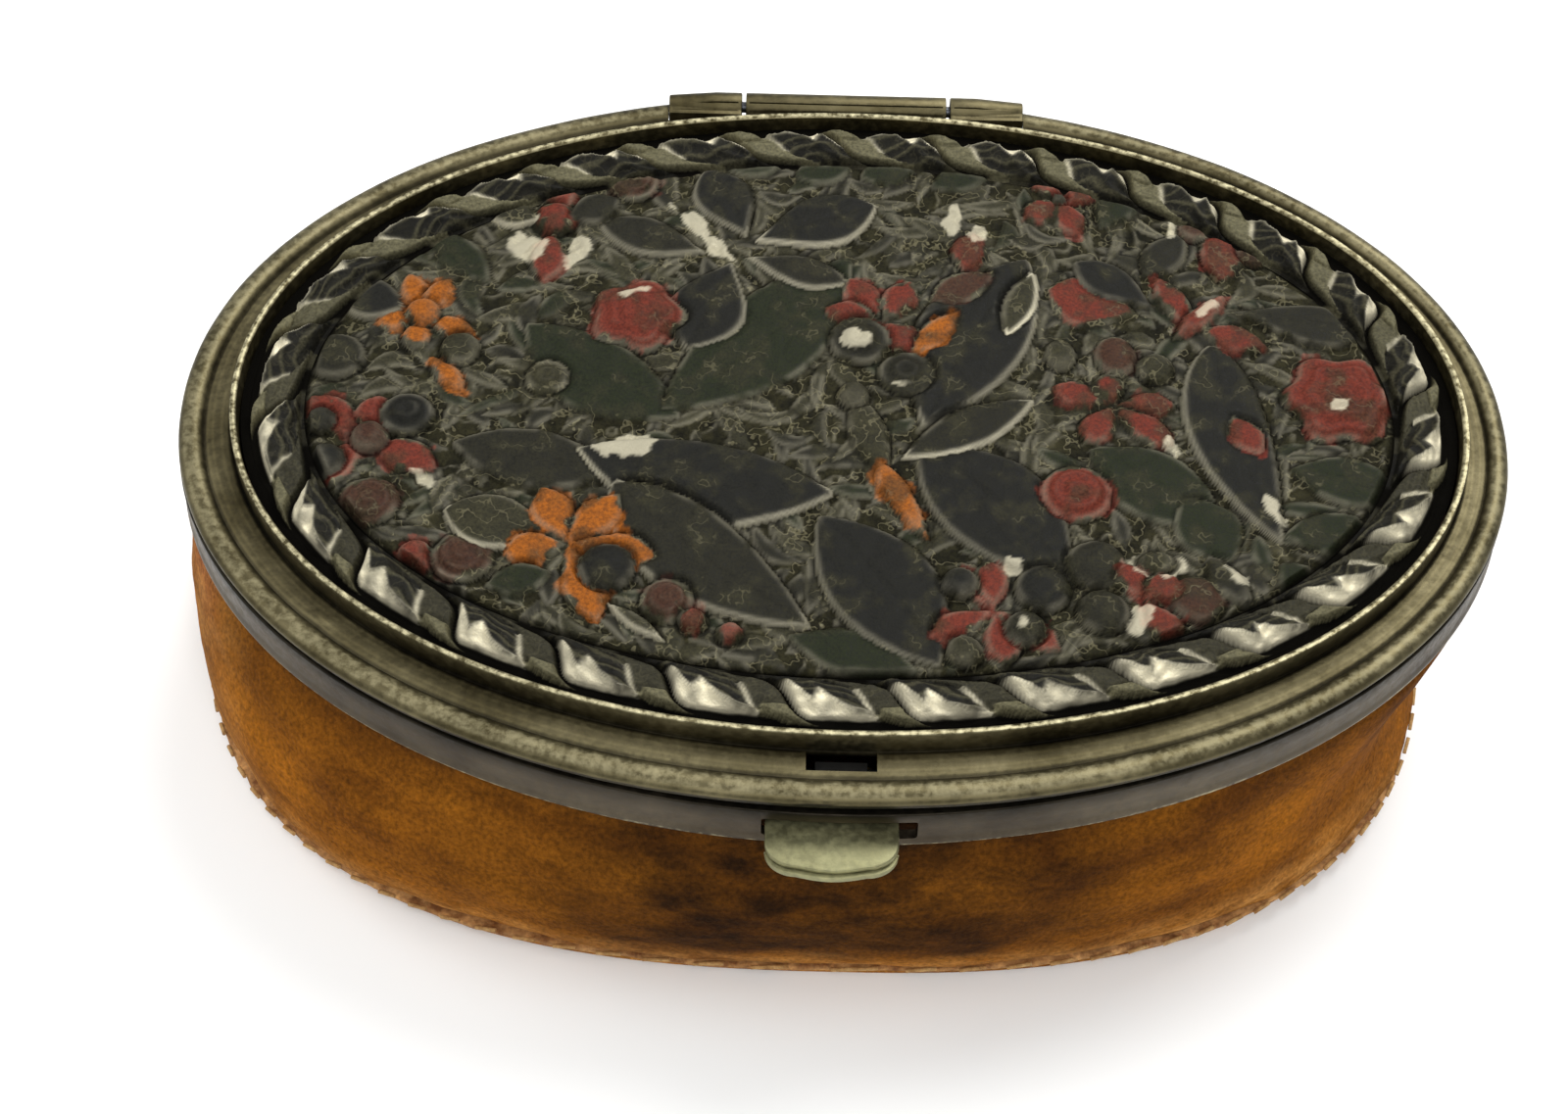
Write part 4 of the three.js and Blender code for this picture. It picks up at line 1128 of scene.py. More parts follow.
def fillers(half_length: float, half_width: float) -> list[Blade]:
    """Small curled leaves that fill the ground between the large forms.

    Args:
        half_length: The field's half length.
        half_width: The field's half width.

    Returns:
        The leaves.
    """
    rng = np.random.default_rng(11)
    paints = [Paint.DARK, Paint.BARE, Paint.BARE, Paint.GREEN, Paint.BARE, Paint.DARK]
    leaves = []
    spacing, squeeze, stray = 2.1, 0.92, 0.7
    columns, rows = 17, 11
    for column in range(-columns, columns + 1):
        for row in range(-rows, rows + 1):
            x, y = (column + (row % 2) / 2) * spacing, row * spacing * squeeze
            x, y = x + rng.uniform(-stray, stray), y + rng.uniform(-stray, stray)
            turn = 2.4 * math.sin(x / 4.1) + 2.1 * math.cos(y / 3.3) + rng.uniform(-0.5, 0.5)
            length, width = rng.uniform(2.8, 5.8), rng.uniform(0.9, 1.7)
            bow, edge, pick = rng.uniform(-0.3, 0.3), rng.uniform(0.0, 0.16), int(rng.integers(len(paints)))
            if (x / half_length) ** 2 + (y / half_width) ** 2 > 1:
                continue
            out = Vector((math.cos(turn), math.sin(turn))) * length / 2
            root, tip = (x - out.x, y - out.y), (x + out.x, y + out.y)
            height = rng.uniform(0.08, 0.26)
            # edge is a painted highlight on the lit side; 0.5 makes the cut shallower and its painted shadow
            # lighter.
            leaves.append(Blade(root, tip, width, paints[pick], height, 0.45, bow, 0, edge, 0.5))
    return leaves


class Relief:
    """The raised work of the lid panel: height, paint, wear, grime and painted light at a grid of places.

    Each form has a rounded shoulder and a cut line round it, painted black as its shadow and blacker on the
    side away from the light; a painted highlight may run along its lit edge. The bright paints run over its
    edge here and there.
    """

    groove: float = 0.26
    groove_depth: float = 0.22
    shoulder: float = 0.38
    flake_height: float = 0.06
    flake_shine: float = 0.42
    spilled: tuple[Paint, ...] = (Paint.RED, Paint.ORANGE, Paint.PINK)

    def __init__(self, x: np.ndarray, y: np.ndarray) -> None:
        """Starts from a chased ground.

        Args:
            x: Places along X, in millimetres.
            y: Places along Y, in millimetres.
        """
        self.x = x
        self.y = y
        self.patchy = np.clip(0.6 + 0.75 * plane_noise(x, y, 1.5, 5), 0, 1)
        self.ragged = plane_noise(x, y, 1.3, 12, 3)
        self.tooled = 0.035 * plane_noise(x, y, 0.5, 6, 2) + 0.05 * plane_noise(x, y, 1.4, 7, 2)
        tendril = np.clip(1 - np.abs(plane_noise(x, y, 1.9, 8, 2)) / 0.16, 0, 1)
        self.height = 0.02 + 0.22 * np.sqrt(tendril) + self.tooled
        self.paint = np.zeros(x.shape + (4,))
        self.shine = 0.1 * tendril * self.patchy
        # Patina darkens the ground between the tendrils; painted shadows join it later.
        self.patina_and_shade = 0.35 * (1 - tendril)

    def _stamp(
        self,
        near: np.ndarray,
        depth: np.ndarray,
        lift: np.ndarray,
        paint: Paint,
        bright: np.ndarray | float = 0.0,
        cut_depth: np.ndarray | float = 0.9,
    ) -> None:
        """Lays a form over what is there, with a cut line round it and its paint rubbed in unevenly.

        Args:
            near: The places that it may reach.
            depth: How far inside its outline each of them lies, in millimetres.
            lift: The form's height there.
            paint: Its paint. Silver is a worn flake on what is there, and hardly raises it.
            bright: How bright its metal is, from rubbing and from a painted highlight on the lit side.
            cut_depth: How deep the cut line is and how black its painted shadow, from 0 to 1.
        """
        ragged, patchy = self.ragged[near], self.patchy[near]
        if paint is Paint.SILVER:
            flake = np.clip((depth + 0.5 * ragged) / 0.12, 0, 1) * (depth > -0.5)
            self.height[near] += self.flake_height * flake
            self.shine[near] = np.maximum(self.shine[near], self.flake_shine * flake)
            self.patina_and_shade[near] *= 1 - flake
            return
        inside = depth > 0
        cut = np.where(~inside & (depth > -self.groove), 1 + depth / self.groove, 0.0)
        cut = np.sqrt(np.clip(cut, 0, 1)) * cut_depth
        height = self.height[near] * (1 - 0.7 * cut) - self.groove_depth * cut
        self.height[near] = np.where(inside, lift + self.tooled[near], height)
        # Painted shadow: the cut line round the form is blackened
        self.patina_and_shade[near] = np.where(inside, 0.0, np.maximum(self.patina_and_shade[near], cut))
        rim = 0.1 * np.exp(-(((depth - 0.2) / 0.2) ** 2)) * np.clip(patchy * 1.6 - 0.5, 0, 1)
        # The lit edge's painted highlight, and the rubbed rim
        self.shine[near] = np.where(inside, np.maximum(bright, rim), self.shine[near] * (1 - cut))
        stray, spill = (0.55, -0.5) if paint in self.spilled else (0.1, 0.0)
        cover = np.clip((depth + stray * ragged) / 0.15 + 0.2, 0, 1) * (depth > spill)
        cover = cover * paint.value[1] * (0.45 + 0.55 * np.clip(0.85 + 1.3 * (patchy - 0.5), 0, 1))
        under = np.where(inside[..., None], np.array(linear(Paint.BARE.value[0], 0.4)), self.paint[near])
        self.paint[near] = under + (np.array(linear(paint.value[0])) - under) * cover[..., None]

    def add_blade(self, blade: Blade) -> None:
        """Raises a leaf, petal or wing.

        Args:
            blade: The form.
        """
        root, tip = Vector(blade.root), Vector(blade.tip)
        along = tip - root
        length = along.length
        unit = along / length
        middle, room = (root + tip) / 2, length / 2 + blade.width * 0.7 + self.groove
        near = (np.abs(self.x - middle.x) < room) & (np.abs(self.y - middle.y) < room)
        if not near.any():
            return
        dx, dy = self.x[near] - root.x, self.y[near] - root.y
        t = (dx * unit.x + dy * unit.y) / length
        t_in = np.clip(t, 0.0, 1.0)
        across = (dy * unit.x - dx * unit.y) - blade.bow * length * 4 * t_in * (1 - t_in)
        power = math.log(0.5) / math.log(blade.widest)
        half = blade.width / 2 * np.sin(math.pi * t_in**power) ** 0.8
        beyond = np.maximum(t - 1, -t) * length
        depth = np.where(beyond > 0, -np.hypot(beyond, np.abs(across)), half - np.abs(across))
        edge = np.clip(depth / min(self.shoulder, blade.width / 2), 0, 1)
        crown = np.clip(depth / (blade.width / 2), 0, 1)
        lift = 0.08 + 0.75 * blade.height * (0.8 * np.sqrt(1 - (1 - edge) ** 2) + 0.2 * crown)
        if blade.veins:
            vein = np.exp(-((across / 0.15) ** 2))
            rib = np.abs(((t * blade.veins - np.abs(across) / blade.width * 1.6) % 1.0) - 0.5) * 2
            lift = lift - 0.1 * vein * edge - 0.03 * np.clip(rib * 5 - 4, 0, 1) * edge
        # Painted light: a highlight runs along the edge towards the light, and the cut is blacker on the far
        # side.
        sunny = across * np.sign(unit.x + 0.01) < 0.1 * blade.width
        bright = 0.7 * blade.bright_edge * np.exp(-(((depth - 0.16) / 0.16) ** 2)) * sunny
        self._stamp(near, depth, lift, blade.paint, bright, np.where(sunny, 0.45, 1.0) * blade.cut)

    def add_boss(self, boss: Boss) -> None:
        """Raises a bead or rosette.

        Args:
            boss: The form.
        """
        room = boss.radius * 1.25 + self.groove
        dx, dy = self.x - boss.centre[0], self.y - boss.centre[1]
        near = (np.abs(dx) < room / boss.stretch) & (np.abs(dy) < room)
        dx, dy = dx[near] * boss.stretch, dy[near]
        turn = np.arctan2(dy, dx)
        lobes = 1 + (0.1 * np.cos(boss.petals * turn) if boss.petals else 0)
        reach = np.hypot(dx, dy) / (boss.radius * lobes)
        depth = (1 - reach) * boss.radius
        lift = 0.1 + boss.height * np.sqrt(np.clip(1 - reach**2.4, 0, 1))
        if boss.rings:
            swirl = reach * (boss.rings + 0.5) + turn / math.tau * (1 if boss.petals else 0)
            lift = lift - 0.24 * (0.5 + 0.5 * np.cos(swirl * math.tau)) * np.clip(depth / 0.2, 0, 1)
        self._stamp(near, depth, lift, boss.paint)

    @staticmethod
    def blurred(values: np.ndarray, passes: int) -> np.ndarray:
        """Softens values over the grid.

        Args:
            values: The values.
            passes: How far they spread, in grid steps.

        Returns:
            The softened values.
        """
        soft = values
        for _ in range(passes):
            wide = np.pad(soft, 1, mode="edge")
            soft = (wide[:-2, 1:-1] + wide[2:, 1:-1] + wide[1:-1, :-2] + wide[1:-1, 2:] + soft) / 5
        return soft

    def wear_highlight_grime_and_shade(self) -> tuple[np.ndarray, np.ndarray]:
        """Where the ridges are rubbed or get painted highlights, and where grime and painted shade lie.

        Returns:
            Wear with painted highlights, and grime with painted shade, each from 0 to 1.
        """
        proud = self.height - self.blurred(self.height, 12)
        ridge = np.clip((proud - 0.1) * 3.5, 0, 1) * self.patchy * 0.14
        wear_and_highlight = np.clip(np.maximum(ridge, self.shine), 0, 1)
        # Darker in hollows, and black in the cuts as painted shadow
        grime_and_shade = np.maximum(np.clip((-proud - 0.04) * 3.0, 0, 0.75), self.patina_and_shade)
        return wear_and_highlight * (1 - self.patina_and_shade), grime_and_shade * (1 - self.shine)


def write_relief(
    piece: Piece, top: np.ndarray, paint: np.ndarray, wear_and_highlight: np.ndarray, grime_and_shade: np.ndarray
) -> None:
    """Writes paint, wear with painted highlights, and grime with painted shade on a piece.

    Args:
        piece: The piece.
        top: Which of its vertices lie on the worked face.
        paint: Colour and cover of those.
        wear_and_highlight: Their wear and painted highlights.
        grime_and_shade: Their grime and painted shade. The other vertices are half darkened.
    """
    count = len(piece.data.vertices)
    colours = np.zeros((count, 4))
    colours[top] = paint
    layer = piece.data.color_attributes.new("paint", "FLOAT_COLOR", "POINT")
    layer.data.foreach_set("color", colours.ravel())
    for name, values, rest in (("wear_and_highlight", wear_and_highlight, 0.0), ("grime_and_shade", grime_and_shade, 0.5)):
        full = np.full(count, rest)
        full[top] = values
        write_values(piece, name, full)


@dataclass
class LidPanel:
    """The repousse sheet inside the rope border. Its edge falls under the border, painted black as shade."""

    columns: int = 376
    rows: int = 250
    fall_start: float = 0.985
    fall_width: float = 0.012
    fall_depth: float = 0.25

    def build(self, material: Finish) -> Piece:
        """Builds the panel as a fine sheet, raises it and closes its back.

        Args:
            material: Its finish.

        Returns:
            The piece.
        """
        bm = bmesh.new()
        bmesh.ops.create_grid(bm, x_segments=self.columns, y_segments=self.rows, size=1.0)
        u = np.array([v.co.x for v in bm.verts])
        v = np.array([v.co.y for v in bm.verts])
        column = np.rint((u + 1) / 2 * self.columns).astype(int)
        row = np.rint((v + 1) / 2 * self.rows).astype(int)
        across, up = u * np.sqrt(1 - v**2 / 2), v * np.sqrt(1 - u**2 / 2)
        size, turn = np.hypot(across, up), np.arctan2(up, across)
        edge_x, edge_y = lid_point(turn, np.full(u.shape, PANEL_EDGE - ROPE_SPAN))
        x, y, share = (np.zeros((self.columns + 1, self.rows + 1)) for _ in range(3))
        x[column, row] = COLLAR_SHIFT[0] + (edge_x - COLLAR_SHIFT[0]) * size
        y[column, row] = COLLAR_SHIFT[1] + (edge_y - COLLAR_SHIFT[1]) * size
        share[column, row] = size
        relief = Relief(x, y)
        leaves = fillers(HALF_LENGTH + PANEL_EDGE - ROPE_SPAN, HALF_WIDTH + PANEL_EDGE - ROPE_SPAN)
        for motif in [*leaves, *MOTIFS]:
            if isinstance(motif, Blade):
                relief.add_blade(motif)
            else:
                relief.add_boss(motif)
        relief.height = relief.blurred(relief.height, 1)
        fall = np.clip((share - self.fall_start) / self.fall_width, 0, 1)
        relief.height = relief.height * (1 - fall) - self.fall_depth * fall
        # Painted shade: the fallen edge under the border is black
        relief.patina_and_shade = np.maximum(relief.patina_and_shade, fall)
        wear_and_highlight, grime_and_shade = relief.wear_highlight_grime_and_shade()
        for vert, lift, i, j in zip(bm.verts, relief.height[column, row], column, row):
            vert.co = (x[i, j], y[i, j], PANEL_LEVEL + lift)
        top_count = len(bm.verts)
        rim = [edge for edge in bm.edges if len(edge.link_faces) == 1]
        grown = bmesh.ops.extrude_edge_only(bm, edges=rim)["geom"]
        for item in grown:
            if isinstance(item, bmesh.types.BMVert):
                item.co.z = PANEL_LEVEL - PANEL_SHEET
        edges = [item for item in grown if isinstance(item, bmesh.types.BMEdge)]
        loop = [edge for edge in edges if len(edge.link_faces) == 1]
        bmesh.ops.edgeloop_fill(bm, edges=loop)
        bmesh.ops.recalc_face_normals(bm, faces=bm.faces)
        total = len(bm.verts)
        piece = Builder.finish(bm, "lid_panel_relief", sharp=80.0)
        top = np.arange(total) < top_count
        write_relief(piece, top, relief.paint[column, row], wear_and_highlight[column, row], grime_and_shade[column, row])
        return dress(piece, material, "lid", "dark_metal", "lid_panel")


@dataclass
class RopeBorder:
    """The twisted rope round the panel.

    Each strand is a dark body that leans outwards as it goes round, with a zigzag facet on its outer side,
    bright cream as wear and painted highlight, a cut behind it painted black as shadow, and a small lens
    between it and the next. The ditch outside the rope and the undercut below each facet are painted shade.
    """

    steps: int = 1400
    lines: int = 62
    split: float = 0.36
    zigzag: Profile = (
        (0, -0.6), (0.26, -0.55), (0.4, -0.36), (0.55, 0.2), (0.74, -0.26), (0.95, 0.85), (1, 0.9)
    )
    foot: float = -0.62
    cut_width: float = 0.17
    cut_depth: float = 0.3
    dark: str = "#131210"
    light: str = "#6f6a50"

    def walk(self, turn: np.ndarray) -> tuple[np.ndarray, float]:
        """How many strands lie between the left-hand end and each place, by length.

        Args:
            turn: Turns about the middle.

        Returns:
            The number of strands, and the length of one.
        """
        steps = np.linspace(-math.pi, math.pi, 1441)
        x, y = lid_point(steps, np.full(steps.shape, PANEL_EDGE - ROPE_MIDDLE))
        run = np.concatenate([[0], np.cumsum(np.hypot(np.diff(x), np.diff(y)))])
        return np.interp(turn, steps, run / run[-1] * ROPE_STRANDS), float(run[-1] / ROPE_STRANDS)

    def shape(
        self, turn: np.ndarray, inset: np.ndarray, x: np.ndarray, y: np.ndarray
    ) -> tuple[np.ndarray, np.ndarray, np.ndarray, np.ndarray]:
        """The rope's height and looks.

        Args:
            turn: Turns about the middle.
            inset: How far inside the panel's edge each place lies.
            x: Places along X.
            y: Places along Y.

        Returns:
            Height, paint, wear with painted highlights, and painted shade with patina.
        """
        across = (inset - ROPE_MIDDLE) / ROPE_HALF_WIDTH
        band = np.clip(across, -1, 1)
        walk, pitch = self.walk(turn)
        start = 0.46 - 0.166 * (1 + np.sin(turn)) + 0.05 * plane_noise(x, y, 6.0, 21, 1)
        phase = (start - walk - 0.14 * band - 0.3 * band**5) % 1.0
        steep = np.hypot(1, (0.14 + 1.5 * band**4) * pitch / ROPE_HALF_WIDTH)
        behind = np.minimum(phase, 1 - phase) * pitch / steep
        cut = np.clip(1.6 * np.exp(-((behind / self.cut_width) ** 2)), 0, 1)
        main = phase > self.split
        along = np.clip((phase - self.split) / (1 - self.split), 0, 1)
        ridge = np.interp(along, *zip(*self.zigzag)) + 0.06 * plane_noise(x, y, 0.8, 23, 2)
        rise = 0.3 + 0.7 * np.sin(np.clip(along / 0.6, 0, 1) * math.pi / 2)
        flank = np.clip((band - self.foot) / (ridge - self.foot + 0.02), 0, 1)
        top = 1 - 0.85 * ((band - ridge) / (1.15 - ridge)) ** 2
        lens = 0.5 * np.clip(np.sin(np.clip(phase / 0.3, 0, 1) * math.pi) * 1.6, 0, 1)
        lens = lens * np.clip((0.36 - np.abs(band + 0.6)) / 0.12, 0, 1)
        web = 0.42 * np.sqrt(np.clip(1 - ((band - 0.3) / 0.8) ** 2, 0, 1))
        streak = np.sin(band * 12 + 5 * plane_noise(x, y, 2.5, 31, 2))
        body = np.where(band < ridge, 0.12 + 0.88 * flank, top)
        lift = np.where(main, rise * body, np.maximum(lens, web))
        under = np.clip((self.foot - band) / 0.07, 0, 1) * (lens < 0.05)
        lift = np.where(under > 0, lift * (1 - under) - self.cut_depth * under, lift)
        lift = ROPE_HEIGHT * lift + 0.05 * streak + 0.05 * plane_noise(x, y, 0.6, 40, 2)
        outer = across < -1
        ditch = np.clip((across - 0.96) / 0.1, 0, 1)
        lift = lift * (1 - cut) - self.cut_depth * cut
        lift = np.where(outer, -0.35, lift * (1 - ditch) - 0.25 * ditch)
        # Painted shade: the ditch, the cut behind each strand and the undercut beneath its facet go black
        patina_and_shade = np.where(outer, 1.0, np.maximum(np.maximum(cut, under), 0.5 * ditch))
        back_half = np.clip(y / 20 + 0.2, 0, 1)
        between = np.where(lens > web, 0.75, 0.15 + 0.6 * back_half)
        pale = np.where(main, np.clip(streak - 0.3, 0, 1) * 0.4, between)
        dark, light = (np.array(linear(colour)) for colour in (self.dark, self.light))
        paint = dark + (light - dark) * pale[..., None]
        paint[..., 3] = 0.8
        # Painted highlight, with wear: the facet, the seam line and the crest go bright cream
        facet = np.clip((ridge - band) / 0.06, 0, 1) * main
        patchy = np.clip(0.9 + 0.5 * plane_noise(x, y, 0.9, 60, 2), 0, 1)
        seam = 0.5 * np.exp(-(((phase - self.split) * pitch / 0.16) ** 2)) * (band > self.foot) * (band < 0.5)
        crest = 0.35 * np.exp(-(((band - ridge) / 0.08) ** 2)) * main
        glint = np.maximum(facet, np.maximum(seam, crest)) * patchy * (1 - patina_and_shade)
        return lift, paint, glint, patina_and_shade

    def build(self, material: Finish) -> Piece:
        """Builds the border.

        Args:
            material: Its finish.

        Returns:
            The piece.
        """
        low = PANEL_LEVEL - PANEL_SHEET
        offsets = np.linspace(PANEL_EDGE, PANEL_EDGE - ROPE_SPAN - 0.05, self.lines)
        profile = [(float(offset), PANEL_LEVEL) for offset in offsets]
        profile += [(float(offsets[-1]), low), (float(offsets[0]), low)]
        bm = Builder.spin_ring(profile, self.steps)
        co = np.array([v.co for v in bm.verts])
        turn = np.arctan2(co[:, 1], co[:, 0])
        inset = PANEL_EDGE - (np.hypot(co[:, 0], co[:, 1]) - HALF_LENGTH)
        top = co[:, 2] > PANEL_LEVEL - 0.1
        Builder.wrap(bm, lid_point)
        co = np.array([v.co for v in bm.verts])
        lift, paint, wear_and_highlight, grime_and_shade = self.shape(turn, inset, co[:, 0], co[:, 1])
        for vert, worked, rise in zip(bm.verts, top, lift):
            if worked:
                vert.co.z = PANEL_LEVEL + rise
        piece = Builder.finish(bm, "lid_rope_border", sharp=80.0)
        write_relief(piece, top, paint[top], wear_and_highlight[top], grime_and_shade[top])
        return dress(piece, material, "lid", "dark_metal", "lid_panel")


@dataclass
class LidRim:
    """The lid's pressed rim: bead, shoulder and collar, with the catch slot and the folded tongue."""

    sheet: float = 0.45
    bead: tuple[float, float, float, float] = (-0.42, -0.1, 0.82, 0.5)
    skirt: float = 0.17
    skirt_drop: float = 0.75
    shoulder_inset: float = 1.45
    shoulder: Profile = (
        (-1.75, 0.055), (-1.9, 0.05), (-2.05, 0.045), (-2.3, 0.04),
        (-2.5, 0.035), (-2.65, 0.03), (-2.85, 0.02),
    )
    slot: tuple[float, float] = (4.3, 1.4)
    slot_land: float = 0.08
    tongue_half: float = 1.6
    tongue_bottom: float = -1.4
    hinge_half: float = 12.95
    hinge_room: float = 1.35
    pip: Point = (-32.6, -18.0)
    pip_radius: float = 0.9
    pip_height: float = 0.28

    def profile(self) -> list[Point]:
        """The rim's section.

        Returns:
            Offsets and heights.
        """
        collar = -COLLAR_INSET
        inner = collar - self.sheet
        middle, level, wide, high = self.bead
        bead = []
        for degrees in range(-40, 161, 20):
            angle = math.radians(degrees)
            bead.append((middle + wide * math.cos(angle), level + high * math.sin(angle)))
        outside = [(self.skirt, -self.skirt_drop), (self.skirt + 0.02, -self.skirt_drop + 0.2)] + bead
        upper = [
            (-1.3, -0.04),
            (-self.shoulder_inset + 0.06, 0.0),
            (-self.shoulder_inset - 0.08, 0.06),
            *self.shoulder,
            (collar + 0.16, 0.0),
            (collar + 0.07, -0.06),
            (collar + 0.01, 0.02),
            (collar, 0.3),
            (collar, COLLAR_RISE - 0.12),
            (collar - 0.06, COLLAR_RISE - 0.02),
            (collar - 0.2, COLLAR_RISE),
            (inner + 0.1, COLLAR_RISE - 0.03),
            (inner, COLLAR_RISE - 0.14),
        ]
        under = [
            (inner, -self.sheet),
            (self.skirt - self.sheet, -self.sheet),
            (self.skirt - self.sheet, -self.skirt_drop),
        ]
        return outside + upper + under

    def grime_shade_and_highlight(self, co: Vector) -> float:
        """How dark or bright the still round rim is painted at a place.

        The collar's top and the bead get a painted highlight on rubbed metal. The grooves beside the
        shoulder, the collar's foot and inside, and the skirt in the gap under the bead get painted shade,
        and faint dark rings run round between them.

        Args:
            co: The place.

        Returns:
            Painted shade from 0 to 1, or less than 0 for a painted highlight on rubbed metal.
        """
        offset = math.hypot(co.x, co.y) - HALF_LENGTH
        if co.z > COLLAR_RISE - 0.06:
            return -1.0
        if -0.9 < offset < 0.1 and co.z > 0.2:
            return -0.22
        if -COLLAR_INSET - 0.05 < offset < -COLLAR_INSET + 0.3:
            return 1.0 if co.z < 0.2 else 0.5 if co.z < COLLAR_RISE - 0.2 else 0.0
        if offset < -COLLAR_INSET and co.z < COLLAR_RISE - 0.3:
            return 0.45
        if -1.5 < offset < -1.1:
            return 0.7
        if -3.0 < offset < -1.6:
            return 0.45 * max(0.0, math.sin(offset * 21.0)) ** 2
        return 0.95 if co.z < -0.25 else 0.0

    def build(self, material: Finish) -> Piece:
        """Builds the rim.

        Args:
            material: Its finish.

        Returns:
            The piece.
        """
        bm = Builder.spin_ring(self.profile())
        Builder.mark(bm, "grime_shade_and_highlight", self.grime_shade_and_highlight)
        Builder.wrap(bm, lid_point)
        self._dent(bm)
        piece = Builder.finish(bm, "lid_rim_worn")
        length, width = self.slot
        back = float(lid_point(np.array(-math.pi / 2), np.array(-COLLAR_INSET))[1]) - self.slot_land
        front = back - width
        slot = Builder.box((-length / 2, front, -1.5), (length / 2, back, COLLAR_RISE / 4))
        Builder.combine(piece, slot, Join.CUT)
        hinge_front = HINGE_Y - self.hinge_room
        cut = Builder.box((-self.hinge_half, hinge_front, -5), (self.hinge_half, BEYOND, 5))
        Builder.combine(piece, cut, Join.CUT)
        half, low = self.tongue_half, self.tongue_bottom
        leg = Builder.box((-half, front - 0.25, low), (half, front + 0.05, -0.2))
        Builder.combine(piece, leg, Join.ADD)
        ledge = Builder.box((-half, front - 0.25, low), (half, front + 0.55, low + 0.3))
        Builder.combine(piece, ledge, Join.ADD)
        Builder.crisp(piece)
        # Painted shade: the tongue and the rim's underside by the slot are black, as the slot is dark within.
        paint_shade_black(piece, lambda co: (np.abs(co[:, 0]) < 2.6) & (co[:, 1] < back + 0.01) & (co[:, 2] < -0.12))
        return dress(piece, material, "lid", "white_metal", "lid_rim")

    def _dent(self, bm: Mesh) -> None:
        """Gives the rim slight waves from handling and one small pip on the shoulder.

        Args:
            bm: The rim.
        """
        pip = Vector(self.pip)
        for vert in bm.verts:
            wave = wobble(vert.co, 9, 4)
            ripple = wobble(vert.co, 2.2, seed=7.0)
            away = (vert.co.xy - pip).length
            lift = 0.0
            if vert.co.z > -0.2 and away < self.pip_radius:
                lift = self.pip_height * math.cos(away / self.pip_radius * math.pi / 2) ** 2
            vert.co.z += 0.05 * wave + 0.02 * ripple + lift


@dataclass
class BaseRing:
    """The base's band, step and neck, with the catch slot, and the clamp ring inside."""

    band: float = BAND_FACE
    band_sheet: float = 0.6
    top: float = -1.55
    bottom: float = -4.8
    neck_inset: float = 1.0
    neck_sheet: float = 0.45
    neck_top: float = -0.75
    slot: tuple[float, float] = (9.5, 1.75)
    slot_height: float = -3.3
    hinge_half: float = 13.2
    hinge_room: float = 1.83
    clamp_heights: tuple[float, float] = (-4.9, -2.35)
    clamp_back: float = -2.05

    def grime_shade_and_highlight(self, co: Vector) -> float:
        """Painted shade and highlight at a place of the ring: black on the step, bright on the rubbed foot.

        Args:
            co: The place.

        Returns:
            Painted shade from 0 to 1, or less than 0 for a painted highlight on rubbed metal.
        """
        if co.z < self.bottom + 0.2:
            return -0.7
        return max(0.0, min(1.0, (co.z - self.top + 0.5) * 3))

    def build(self, metal: Finish, inner_metal: Finish) -> None:
        """Builds both rings.

        Args:
            metal: The band's finish.
            inner_metal: The clamp ring's finish.
        """
        self._band(metal)
        self._clamp(inner_metal)

    def _band(self, metal: Finish) -> None:
        """Builds the band with its step and neck.

        Args:
            metal: Its finish.
        """
        inner = self.band - self.band_sheet
        neck = -self.neck_inset - self.neck_sheet
        under = self.top - self.neck_sheet
        corners = [
            (self.band, self.top),
            (self.band - 0.05, (self.top + self.bottom) / 2),
            (self.band, self.bottom + 0.75),
            (self.band + 0.14, self.bottom + 0.35),
            (self.band + 0.15, self.bottom),
            (inner + 0.15, self.bottom),
            (inner, self.bottom + 0.5),
            (inner, under),
            (neck, under),
            (neck, self.neck_top),
            (-self.neck_inset, self.neck_top),
            (-self.neck_inset, self.top),
        ]
        bm = Builder.spin_ring(rounded(corners, 0.14, 3))
        Builder.wrap(bm)
        for vert in bm.verts:
            vert.co.z += 0.04 * wobble(vert.co, 8, 3, 4)
        Builder.mark(bm, "grime_shade_and_highlight", self.grime_shade_and_highlight)
        piece = Builder.finish(bm, "base_ring_worn")
        length, height = self.slot
        slot = Builder.box(
            (-length / 2, front_y(self.band + 1), self.slot_height - height / 2),
            (length / 2, front_y(inner - 0.6), self.slot_height + height / 2),
            0.2,
        )
        Builder.combine(piece, slot, Join.CUT)
        hinge_front = HINGE_Y - self.hinge_room
        cut = Builder.box((-self.hinge_half, hinge_front, self.top + 0.03), (self.hinge_half, BEYOND, 2))
        Builder.combine(piece, cut, Join.CUT)
        Builder.crisp(piece)
        length, width = HALF_LENGTH - self.band_sheet, HALF_WIDTH - self.band_sheet
        # Painted shade: the band's inside at the front, seen through the slot, is black.
        paint_shade_black(piece, lambda co: (co[:, 1] < -20) & (np.hypot(co[:, 0] / length, co[:, 1] / width) < 1))
        dress(piece, metal, "base", "white_metal", "base_ring")

    def _clamp(self, inner_metal: Finish) -> None:
        """Builds the clamp ring.

        Args:
            inner_metal: Its finish.
        """
        low, high = self.clamp_heights
        back, face = self.clamp_back, CLAMP_FACE
        clamp = [(back, high), (face, high), (face, low), (back, low)]
        bm = Builder.spin_ring(rounded(clamp, 0.15, 3))
        Builder.wrap(bm)
        piece = Builder.finish(bm, "clamp_ring_inner")
        Builder.combine(piece, lever_notch(face - 2), Join.CUT)
        Builder.crisp(piece)
        dress(piece, inner_metal, "base", "back_metal", "clamp_ring")


